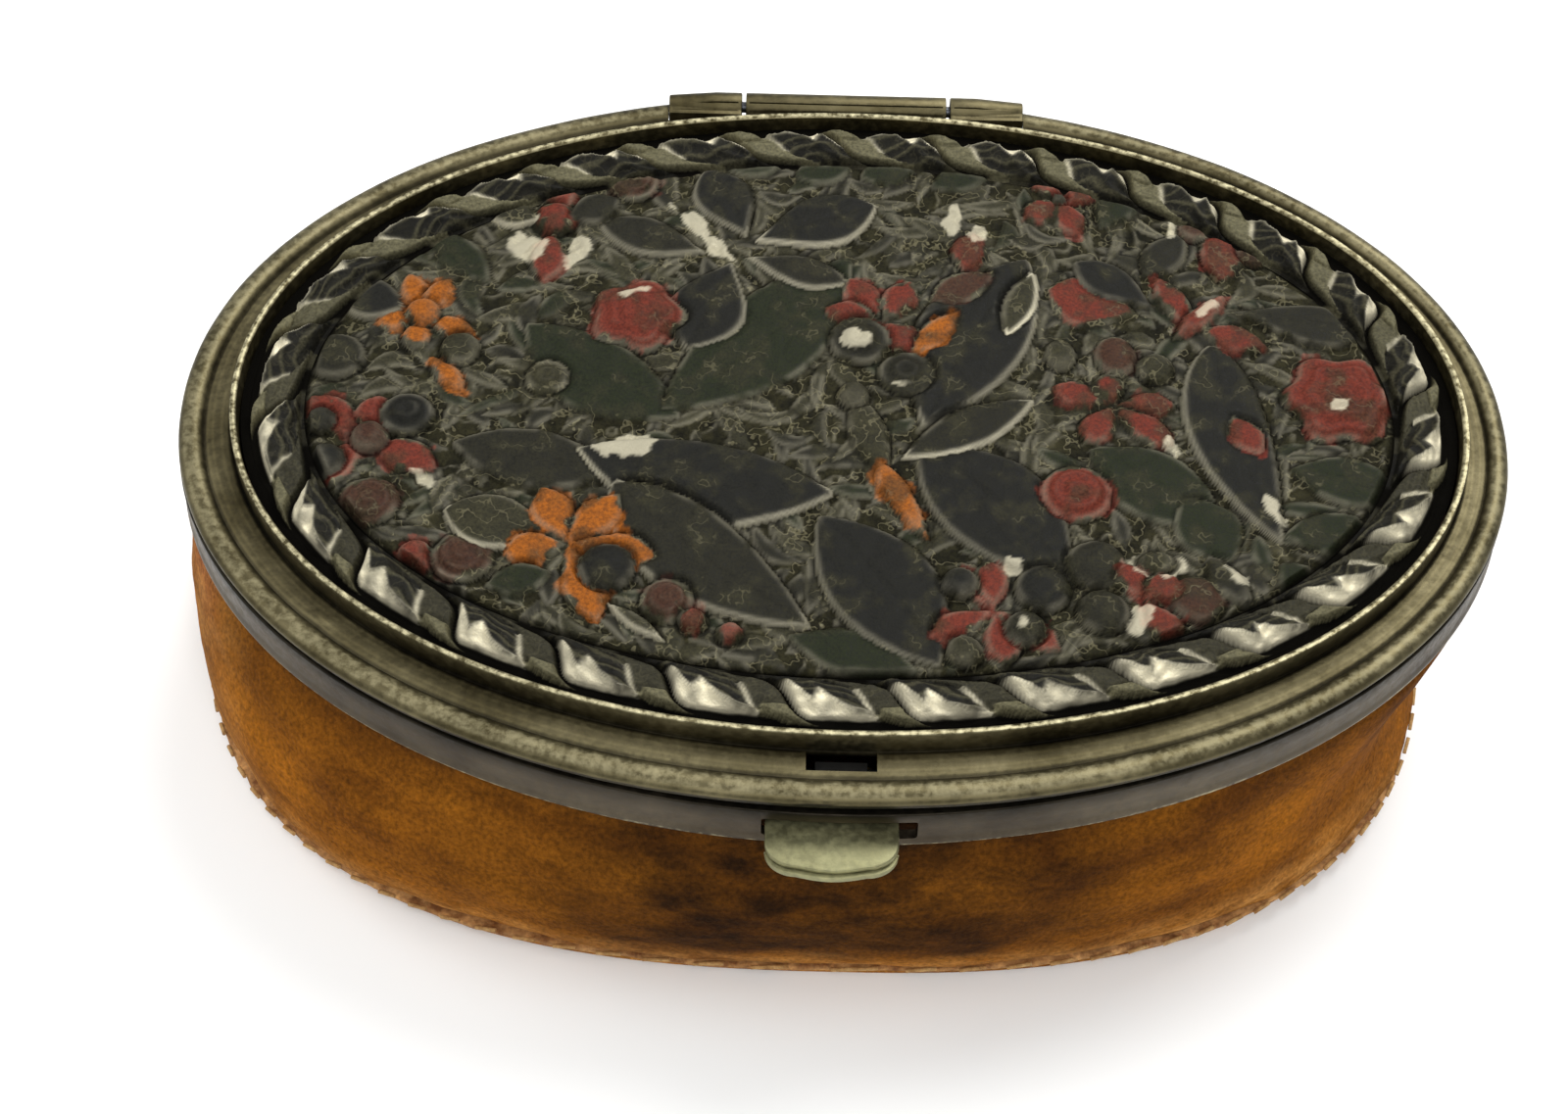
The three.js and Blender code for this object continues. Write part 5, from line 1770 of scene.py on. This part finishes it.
@dataclass
class Hinge:
    """The knuckles and the pin at the back."""

    radius: float = 1.05
    bore: float = 0.6
    base_length: float = 14.6
    lid_length: float = 5.3
    taper: float = 3.4
    tip_radius: float = 0.78
    gap: float = 0.3
    pin_radius: float = 0.4
    seams: Profile = ((118, 0.1), (152, 0.05))

    def knuckle(self, name: str, ends: Point, radii: Profile, foot: Sequence[float]) -> Piece:
        """A rolled knuckle with its foot or arm.

        Args:
            name: The piece's name.
            ends: Where it starts and ends along X.
            radii: Places along X from its start, each with the radius there.
            foot: The foot's low Y, high Y, low Z and high Z.

        Returns:
            The piece.
        """
        bm = bmesh.new()
        line = [bm.verts.new((0, 0, ends[0]))]
        line += [bm.verts.new((radius, 0, place)) for place, radius in radii]
        line.append(bm.verts.new((0, 0, ends[1])))
        edges = [bm.edges.new(pair) for pair in zip(line, line[1:])]
        Builder.full_turn(bm, line + edges, 48)
        bmesh.ops.rotate(bm, verts=bm.verts, cent=(0, 0, 0), matrix=Matrix.Rotation(math.pi / 2, 3, "Y"))
        bmesh.ops.translate(bm, vec=(0, HINGE_Y, HINGE_Z), verts=bm.verts)
        bmesh.ops.recalc_face_normals(bm, faces=bm.faces)
        Builder.soften(bm, 0.07, 2, 60)
        piece = Builder.finish(bm, name)
        low_y, high_y, low_z, high_z = foot
        arm = Builder.box((ends[0] + 0.02, low_y, low_z), (ends[1] - 0.02, high_y, high_z), 0.06)
        Builder.combine(piece, arm, Join.ADD)
        bore_ends = [Vector((x, HINGE_Y, HINGE_Z)) for x in (ends[0] - 1, ends[1] + 1)]
        Builder.combine(piece, Builder.rod(self.bore, *bore_ends), Join.CUT)
        for angle, width in self.seams:
            out = Vector((0, math.cos(math.radians(angle)), math.sin(math.radians(angle)))) * self.radius
            seam = Builder.box(
                (ends[0] + 0.25, HINGE_Y + out.y - width / 2, HINGE_Z + out.z - 0.12),
                (ends[1] - 0.25, HINGE_Y + out.y + width / 2, HINGE_Z + out.z + 0.4),
            )
            Builder.combine(piece, seam, Join.CUT)
        Builder.crisp(piece)
        return piece

    def build(self, metal: Finish, steel: Finish) -> None:
        """Builds the three knuckles and the pin.

        Args:
            metal: The knuckles' finish.
            steel: The pin's finish.
        """
        reach = self.radius * 0.7
        half = self.base_length / 2
        straight = [(-half, self.radius), (half, self.radius)]
        foot = (HINGE_Y - reach, HINGE_Y + reach, -1.52, HINGE_Z)
        middle = self.knuckle("base_knuckle_rolled", (-half, half), straight, foot)
        dress(middle, metal, "base", "white_metal", "base_knuckle")
        start, end = half + self.gap, half + self.gap + self.lid_length
        arm = (HINGE_Y - self.radius - self.gap + 0.03, HINGE_Y, -0.45, HINGE_Z + 0.55)
        right = [(start, self.radius), (end - self.taper, self.radius), (end, self.tip_radius)]
        left = [(-place, radius) for place, radius in reversed(right)]
        for word, ends, radii in (("left", (-end, -start), left), ("right", (start, end), right)):
            piece = self.knuckle(f"lid_knuckle_{word}_rolled", ends, radii, arm)
            dress(piece, metal, "lid", "white_metal", f"lid_knuckle_{word}")
        pin_ends = [Vector((x, HINGE_Y, HINGE_Z)) for x in (-end, end)]
        pin = Builder.rod(self.pin_radius, *pin_ends, 24)
        Builder.soften(pin, 0.1, 2, 60)
        dress(Builder.finish(pin, "hinge_pin_round"), steel, "base", "spring_steel", "hinge_pin")


@dataclass
class Catch:
    """The thumb tab with its hemmed edge, and its plate, leg, hook and nose."""

    width: float = 8.1
    reach: float = 3.05
    offset: float = -0.47
    sheet: float = 0.45
    level: float = -3.3
    hem: float = 0.25
    corner: float = 1.9
    bow: float = 0.3
    leg_half: float = 3.3
    nose_half: float = 1.6
    nose_heights: tuple[float, float] = (-1.05, -0.65)

    def outline(self, reach: float, root: float) -> list[Point]:
        """The tab's outline.

        Args:
            reach: How far it stands out of the base ring.
            root: The place along Y where it starts.

        Returns:
            The outline.
        """
        half = self.width / 2
        front = front_y(BAND_FACE) - reach
        corner = half - self.corner
        right = [(half, root)]
        for step in range(13):
            angle = math.radians(step * 7.5)
            y = front + self.corner - (self.corner - self.bow) * math.sin(angle)
            right.append((corner + self.corner * math.cos(angle), min(y, root - 0.01 * (step + 1))))
        for step in range(1, 5):
            t = step / 8
            right.append((corner * (1 - 2 * t), front + self.bow * (1 - math.sin(t * math.pi))))
        left = [(-x, y) for x, y in reversed(right[:-1])]
        return [(x + self.offset, y) for x, y in right + left]

    def build(self, metal: Finish, shade_black: Finish) -> Piece:
        """Builds the lever in one piece.

        Args:
            metal: Its finish outside the ring.
            shade_black: Its finish inside the ring, black as painted shade.

        Returns:
            The piece.
        """
        inner, back = front_y(CLAMP_FACE), front_y(LEVER_BACK)
        tip = front_y(BAND_FACE) - self.reach
        level = self.level
        plate = Builder.outline_plate(self.outline(self.reach, inner), level, self.sheet)
        Builder.soften(plate, 0.13, 3, 50)
        piece = Builder.finish(plate, "catch_lever_hemmed")
        fold = Builder.outline_plate(self.outline(self.reach + self.hem, tip + 1.5), level - 0.48, 0.44)
        Builder.soften(fold, 0.14, 3, 50)
        web = Builder.outline_plate(self.outline(self.reach - 0.35, tip + 1.4), level - 0.1, 0.2)
        left, right = self.offset - self.leg_half, self.offset + self.leg_half
        leg = Builder.box((left, inner - 0.05, level), (right, back, level + 1.35), 0.1)
        half = self.nose_half
        low, high = self.nose_heights
        hook = Builder.box((-half, inner, level + 0.3), (half, back, high), 0.08)
        nose = Builder.box((-half, front_y(-2.0), low), (half, back, high), 0.08)
        for part in (fold, web, leg, hook, nose):
            Builder.combine(piece, part, Join.ADD)
        Builder.crisp(piece)
        dress(piece, metal, "catch", "tab_metal", "catch_lever")
        piece.data.materials.append(shade_black)
        # Painted shade: the faces inside the ring take the black finish.
        for face in piece.data.polygons:
            face.material_index = int(face.center.y / MM - CENTRE.y > front_y(-1.0))
        return piece


@dataclass
class Pouch:
    """The leather pouch: its wall, base, worn seam, stitches and lining."""

    leather: float = 1.2
    table: float = -22.0
    mouth: float = POUCH_MOUTH
    top: float = -2.3
    wall_bottom: float = POUCH_BOTTOM
    rows: int = 64
    wall_steps: int = 360
    mouth_offset: float = -0.7
    face: Profile = (
        (-0.05, 0.0), (0.65, 0.06), (0.855, 0.2), (0.9, 0.42),
        (0.63, 0.64), (0.045, 0.84), (-0.7, 0.98), (-0.7, 1.0),
    )
    base_core: float = -8.0
    base_edge: float = 0.12
    welt_edge: float = 0.5
    welt_height: float = 0.5
    welt_steps: int = 420
    stitch_count: int = 96
    stitch_radius: float = 0.14
    lining_core: float = -10.0
    lining_sheet: float = 0.5
    lining_top: float = -5.05

    def face_offset(self, rise: float) -> float:
        """The outer face's offset at a share of the wall's height."""
        offsets, rises = zip(*self.face)
        return float(np.interp(rise, rises, offsets))

    def section(self, inward: float, count: int) -> list[Point]:
        """The wall's face as a row of points.

        Args:
            inward: How far inside the outer face.
            count: Number of points.

        Returns:
            Offsets and heights from the foot to the mouth.
        """
        span = self.mouth - self.wall_bottom
        nearby = (-0.06, -0.03, 0, 0.03, 0.06)
        points = []
        for i in range(count):
            rise = i / (count - 1)
            smooth = sum(self.face_offset(min(max(rise + d, 0), 1)) for d in nearby) / len(nearby)
            points.append((smooth - inward, self.wall_bottom + span * rise))
        return points

    @staticmethod
    def slouch(co: Vector) -> Vector:
        """How the soft leather strays from its even form, which is less and less towards the frame.

        Args:
            co: The place.

        Returns:
            The shift.
        """
        broad = wobble(co, 16, 11)
        crease = wobble(co, 5, 3.2, 11)
        nap = wobble(co, 1.3, 1.1, 30)
        low = max(0.0, min(1.0, (-5.2 - co.z) / 4.0))
        return outward(co) * low * (0.55 * broad + 0.22 * crease + 0.05 * nap)

    def build(self, suede: Finish, raw: Finish, lining: Finish, thread: Finish) -> None:
        """Builds every part of the pouch.

        Args:
            suede: The leather's finish.
            raw: The worn seam's finish.
            lining: The lining's finish.
            thread: The stitches' finish.
        """
        self._wall(suede)
        self._base(suede)
        self._welt(raw)
        self._stitches(thread)
        self._lining(lining)

    def _wall(self, suede: Finish) -> None:
        """Builds the wall with its stains.

        Args:
            suede: Its finish.
        """
        outer = self.section(0, self.rows) + [(self.mouth_offset, self.top)]
        inner = self.section(self.leather, 14) + [(self.mouth_offset - self.leather, self.top)]
        bm = Builder.spin_ring(outer + inner[::-1], self.wall_steps)
        Builder.wrap(bm, pouch_point)
        for vert in bm.verts:
            vert.co += self.slouch(vert.co)
        piece = Builder.finish(bm, "pouch_suede_wall")
        Builder.combine(piece, lever_notch(CLAMP_FACE - 2), Join.CUT)
        Builder.crisp(piece)
        self.stain(piece)
        dress(piece, suede, "base", "tan_leather", "pouch_wall")

    def stain(self, piece: Piece) -> None:
        """Marks the leather's stains, rubbing and flush, and its painted shade and painted highlight.

        Args:
            piece: The piece.
        """
        co = places_of(piece)
        x, y, z = co.T
        ragged = np.array([noise.fractal(Vector((a / 6, b / 6, c / 5)), 1.0, 2.0, 4) for a, b, c in co])
        front = np.clip((-y - 12) / 10, 0, 1)
        middle = np.clip(1.35 - np.abs(x + 1) / 20 + ragged * 0.3, 0, 1)
        upper = np.clip((z + 17.4) / 2.5 + ragged * 0.4, 0, 1)
        stain = front * middle * upper
        # Painted shade: a band just under the frame, where the lid's rim overhangs the wall, is darkened.
        band = np.clip(1 - np.abs(z + 5.5) / 6 + ragged * 0.3, 0, 1) * 0.5
        # Painted highlight along the low front; the left-hand end is rubbed pale.
        rub_and_highlight = np.clip(1 - np.abs(z + 19.8) / 4.0, 0, 1) * front * 0.8 + np.clip(-x - 38, 0, 5) / 5 * 0.35
        blush = np.clip((np.abs(x) - 40.5) / 2, 0, 1) * np.clip((z + 10) / 4, 0, 1)
        # The stain values hold the real stain and the painted shade under the frame.
        write_values(piece, "stain", np.clip(np.maximum(stain, band * (1 - blush)), 0, 1))
        write_values(piece, "rub_and_highlight", rub_and_highlight)
        write_values(piece, "blush", blush * 0.8)

    def _base(self, suede: Finish) -> None:
        """Builds the flat sewn base.

        Args:
            suede: Its finish.
        """
        low, high = self.table, self.table + self.leather
        core, edge = self.base_core, self.base_edge
        profile = [
            (core, high),
            (edge - 0.3, high),
            (edge, high - 0.2),
            (edge + 0.05, high - 0.6),
            (edge - 0.3, low + 0.25),
            (edge - 0.9, low),
            (core, low),
        ]
        piece = Builder.finish(Builder.filled(profile, pouch_point), "pouch_base_sewn")
        self.stain(piece)
        dress(piece, suede, "base", "tan_leather", "pouch_base")

    def _welt(self, raw: Finish) -> None:
        """Builds the worn raw edge along the seam.

        Args:
            raw: Its finish.
        """
        low = self.table + self.leather + 0.05
        high = low + self.welt_height
        outer, inner = self.welt_edge, -0.9
        corners = [(outer, low), (outer + 0.12, low + 0.25), (outer, high), (inner, high), (inner, low)]
        bm = Builder.spin_ring(rounded(corners, 0.12, 3), self.welt_steps)
        Builder.wrap(bm, pouch_point)
        for vert in bm.verts:
            out = outward(vert.co)
            fray = wobble(vert.co, 0.9, 0.5)
            slow = wobble(vert.co, 7, seed=3.0)
            vert.co += out * (0.16 * fray + 0.12 * slow - 0.1)
            vert.co.z += 0.06 * fray
        dress(Builder.finish(bm, "seam_welt_worn"), raw, "base", "pale_leather", "seam_welt")

    def _stitches(self, thread: Finish) -> None:
        """Sews the seam: one short stitch about every 2.4 mm.

        Args:
            thread: The thread's finish.
        """
        bm = bmesh.new()
        count = self.stitch_count
        offset = 0.62
        level = self.table + self.leather + 0.62
        for i in range(count):
            turn = math.tau * i / count
            ends = []
            for step, lift in ((0.0, -0.12), (0.55, 0.22)):
                along = turn + step * math.tau / count
                x, y = pouch_point(np.array(along), np.array(offset), np.array(level))
                stray = 0.1 * noise.noise(Vector((i * 1.7, step, 0)))
                ends.append(Vector((float(x), float(y), level + lift + stray)))
            stitch = Builder.rod(self.stitch_radius, *ends, 8)
            scratch = bpy.data.meshes.new("stitch")
            stitch.to_mesh(scratch)
            stitch.free()
            bm.from_mesh(scratch)
            bpy.data.meshes.remove(scratch)
        dress(Builder.finish(bm, "seam_stitches"), thread, "base", "pale_leather")

    def _lining(self, lining: Finish) -> None:
        """Builds the lining as a thin cup.

        Args:
            lining: Its finish.
        """
        inset = self.leather + 0.15
        floor = self.table + 1.4
        core, sheet, top = self.lining_core, self.lining_sheet, self.lining_top
        face = [point for point in self.section(inset, 26) if floor + 1.2 < point[1] < top - 0.4]
        outer = [(-3.4, floor), (-2.2, floor + 0.15), (-1.5, floor + 0.7)] + face + [(-2.05, top)]
        inner = [(offset - sheet, rise if rise > floor + 1.0 else rise + sheet) for offset, rise in outer]
        profile = [(core, floor)] + outer + inner[::-1] + [(core, floor + sheet)]
        cup = Builder.finish(Builder.filled(profile, pouch_point), "pouch_lining_kid")
        dress(cup, lining, "base", "kid_lining", "pouch_lining")


@dataclass
class LidInside:
    """The lining glued inside the lid."""

    core: float = -8.0
    edge: float = -3.8
    bottom: float = -0.45
    thickness: float = 0.35

    def build(self, lining: Finish) -> None:
        """Builds the lining as a thin plate with a turned edge.

        Args:
            lining: Its finish.
        """
        low, high = self.bottom, self.bottom + self.thickness
        core, edge = self.core, self.edge
        profile = [(core, high), (edge, high), (edge, low + 0.15), (edge - 0.15, low + 0.02), (core, low)]
        plate = Builder.finish(Builder.filled(profile, lid_point), "lid_lining_kid")
        dress(plate, lining, "lid", "kid_lining", "lid_lining")


@dataclass
class Studio:
    """Pale floor, soft lamps and the camera at the photograph's angle."""

    azimuth: float = math.radians(-0.105)
    elevation: float = math.radians(53.0)
    roll: float = math.radians(1.494)
    distance: float = 170.345
    shift_right: float = -3.974
    shift_up: float = -9.548
    focal_px: float = 2614.5
    photo_width: float = 1600.0

    def camera(self) -> None:
        """Makes the camera."""
        data = bpy.data.cameras.new("photo_camera")
        data.sensor_fit = "HORIZONTAL"
        data.sensor_width = 36.0
        data.lens = self.focal_px / self.photo_width * data.sensor_width
        data.clip_start = 0.01
        back = Vector(
            (
                math.sin(self.azimuth) * math.cos(self.elevation),
                -math.cos(self.azimuth) * math.cos(self.elevation),
                math.sin(self.elevation),
            )
        )
        right = (-back).cross(Vector((0, 0, 1))).normalized()
        up = right.cross(-back)
        turned_right = right * math.cos(self.roll) + up * math.sin(self.roll)
        turned_up = up * math.cos(self.roll) - right * math.sin(self.roll)
        place = back * self.distance + turned_right * self.shift_right + turned_up * self.shift_up
        matrix = Matrix((turned_right, turned_up, back)).transposed().to_4x4()
        matrix.translation = (place + CENTRE) * MM
        camera = bpy.data.objects.new("photo_camera", data)
        camera.matrix_world = matrix
        bpy.context.scene.collection.objects.link(camera)
        bpy.context.scene.camera = camera

    def floor(self) -> None:
        """Makes the pale floor."""
        bm = bmesh.new()
        bmesh.ops.create_grid(bm, x_segments=1, y_segments=1, size=1.5)
        mesh = bpy.data.meshes.new("floor")
        bm.to_mesh(mesh)
        bm.free()
        floor = bpy.data.objects.new("floor", mesh)
        # Smooth matt paper, which shows as a plain pale ground
        material, _, shader = new_material("pale_paper")
        shader.inputs["Base Color"].default_value = linear("#fafaf8")
        shader.inputs["Roughness"].default_value = 0.9
        shader.inputs["Specular IOR Level"].default_value = 0.1
        floor.data.materials.append(material)
        bpy.context.scene.collection.objects.link(floor)

    @staticmethod
    def lamp(name: str, place: Sequence[float], size: float, power: float) -> None:
        """Makes one soft lamp aimed at the purse.

        Args:
            name: Its name.
            place: Where it hangs, in metres.
            size: Its width.
            power: Its power in watts.
        """
        data = bpy.data.lights.new(name, "AREA")
        data.shape = "DISK"
        data.size = size
        data.energy = power
        lamp = bpy.data.objects.new(name, data)
        lamp.location = place
        aim = Vector((0, 0, 0.015)) - Vector(place)
        lamp.rotation_euler = aim.to_track_quat("-Z", "Y").to_euler()
        bpy.context.scene.collection.objects.link(lamp)

    def light(self) -> None:
        """Makes the lamps and the world."""
        self.lamp("key_right_back", (0.25, 0.42, 0.7), 0.5, 5.6)
        self.lamp("fill_left", (-0.5, 0.15, 0.6), 0.6, 2.4)
        self.lamp("front_top", (0.05, -0.5, 0.7), 0.5, 3.2)
        world = bpy.data.worlds.new("studio")
        world.use_nodes = True
        bpy.context.scene.world = world
        tree = world.node_tree
        tree.nodes.clear()
        path = add_node(tree, "ShaderNodeLightPath")
        seen = path.outputs["Is Camera Ray"]
        dim = add_node(tree, "ShaderNodeBackground", {"Color": (0.9, 0.92, 0.95, 1), "Strength": 0.5})
        white = add_node(tree, "ShaderNodeBackground", {"Color": (1, 1, 1, 1), "Strength": 1.0})
        both = add_node(tree, "ShaderNodeMixShader", {0: seen, 1: dim.outputs[0], 2: white.outputs[0]})
        add_node(tree, "ShaderNodeOutputWorld", {"Surface": both.outputs[0]})

    def build(self) -> None:
        """Builds the whole studio."""
        self.camera()
        self.floor()
        self.light()
        bpy.context.scene.view_settings.view_transform = "Standard"


def dress_hidden_nodes() -> None:
    """Gives the small inner nodes that stay as they are their finishes."""
    # Rolled spring steel, tempered blue: dark and fairly glossy
    steel = PlainFinish("blued_spring_steel", "#3b3f47", "#5b5d63", (0.25, 0.45), 1.0, 1.5, 0.2, 0.01).build()
    # Drawn brass, gone dull inside the purse
    brass = PlainFinish("dull_brass", "#8f7a48", "#b39a5f", (0.3, 0.5), 1.0, 1.0, 0.2, 0.01).build()
    # Rolled nickel silver that was never polished: grey and flat
    plate = PlainFinish("plain_back_metal", "#5d5848", "#7d7763", (0.4, 0.6), 0.9, 2.0, 0.3, 0.02).build()
    finishes = {
        "catch_spring": steel,
        "spring_block": brass,
        "lever_rivet_left": brass,
        "lever_rivet_right": brass,
        "foot_rivet_left": brass,
        "foot_rivet_right": brass,
        "lid_backplate": plate,
    }
    for name, material in finishes.items():
        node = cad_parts[name]
        node.data.materials.clear()
        node.data.materials.append(material)


def write_sizes() -> None:
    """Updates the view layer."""
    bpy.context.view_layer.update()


def main() -> None:
    """Builds the purse and its studio."""
    logging.basicConfig(level=logging.INFO, format="%(name)s: %(message)s")
    Studio().build()
    metal = WornWhiteMetal().build()
    # The band: the same metal, greyer and darker
    ring_look = ("#5f5647", "#423a2f", "#282219", (0.42, 0.62), 0.52)
    ring_metal = WornWhiteMetal("grey_ring_metal", *ring_look).build()
    # The tab: the same metal, pale with a green cast
    tab_look = ("#aaa880", "#8a8764", "#4d4935", (0.42, 0.6), 0.54)
    tab_metal = WornWhiteMetal("greenish_tab_metal", *tab_look).build()
    # Rolled nickel silver out of reach of hands: plain and dull
    inner_metal = PlainFinish("clamp_ring_metal", "#6f6a57", "#918b75", (0.35, 0.55), 0.9).build()
    # Drawn steel wire, darkened
    steel = PlainFinish("pin_steel", "#4b4d52", "#6b6d72", (0.3, 0.5), 1.0).build()
    # The tab's metal where it runs inside the ring, painted black as the shade there
    shade_black = PlainFinish("lever_in_painted_shade", "#0d0c0a", "#191713", (0.6, 0.8), 0.6).build()
    suede = Suede().build()
    # The hide's cut edge: pale fibres between darker ones, quite matt
    raw = PlainFinish("raw_leather_edge", "#6c4019", "#c39258", (0.85, 0.95), 0.0, 1.2, 0.25, 0.12).build()
    # Dyed kid: thin smooth skin with a low sheen
    lining = PlainFinish("dark_red_kid", "#4f1f1d", "#6b2a26", (0.45, 0.65), 0.0, 3.0, 0.35, 0.05).build()
    # Waxed linen thread, dirty with use
    thread = PlainFinish("waxed_linen_thread", "#8a6130", "#b8935c", (0.7, 0.9), 0.0, 0.6, 0.12, 0.05).build()
    relief = PaintedRelief().build()
    LidPanel().build(relief)
    RopeBorder().build(relief)
    LidRim().build(metal)
    LidInside().build(lining)
    BaseRing().build(ring_metal, inner_metal)
    Hinge().build(metal, steel)
    Catch().build(tab_metal, shade_black)
    Pouch().build(suede, raw, lining, thread)
    dress_hidden_nodes()
    write_sizes()


if __name__ == "__main__":
    main()
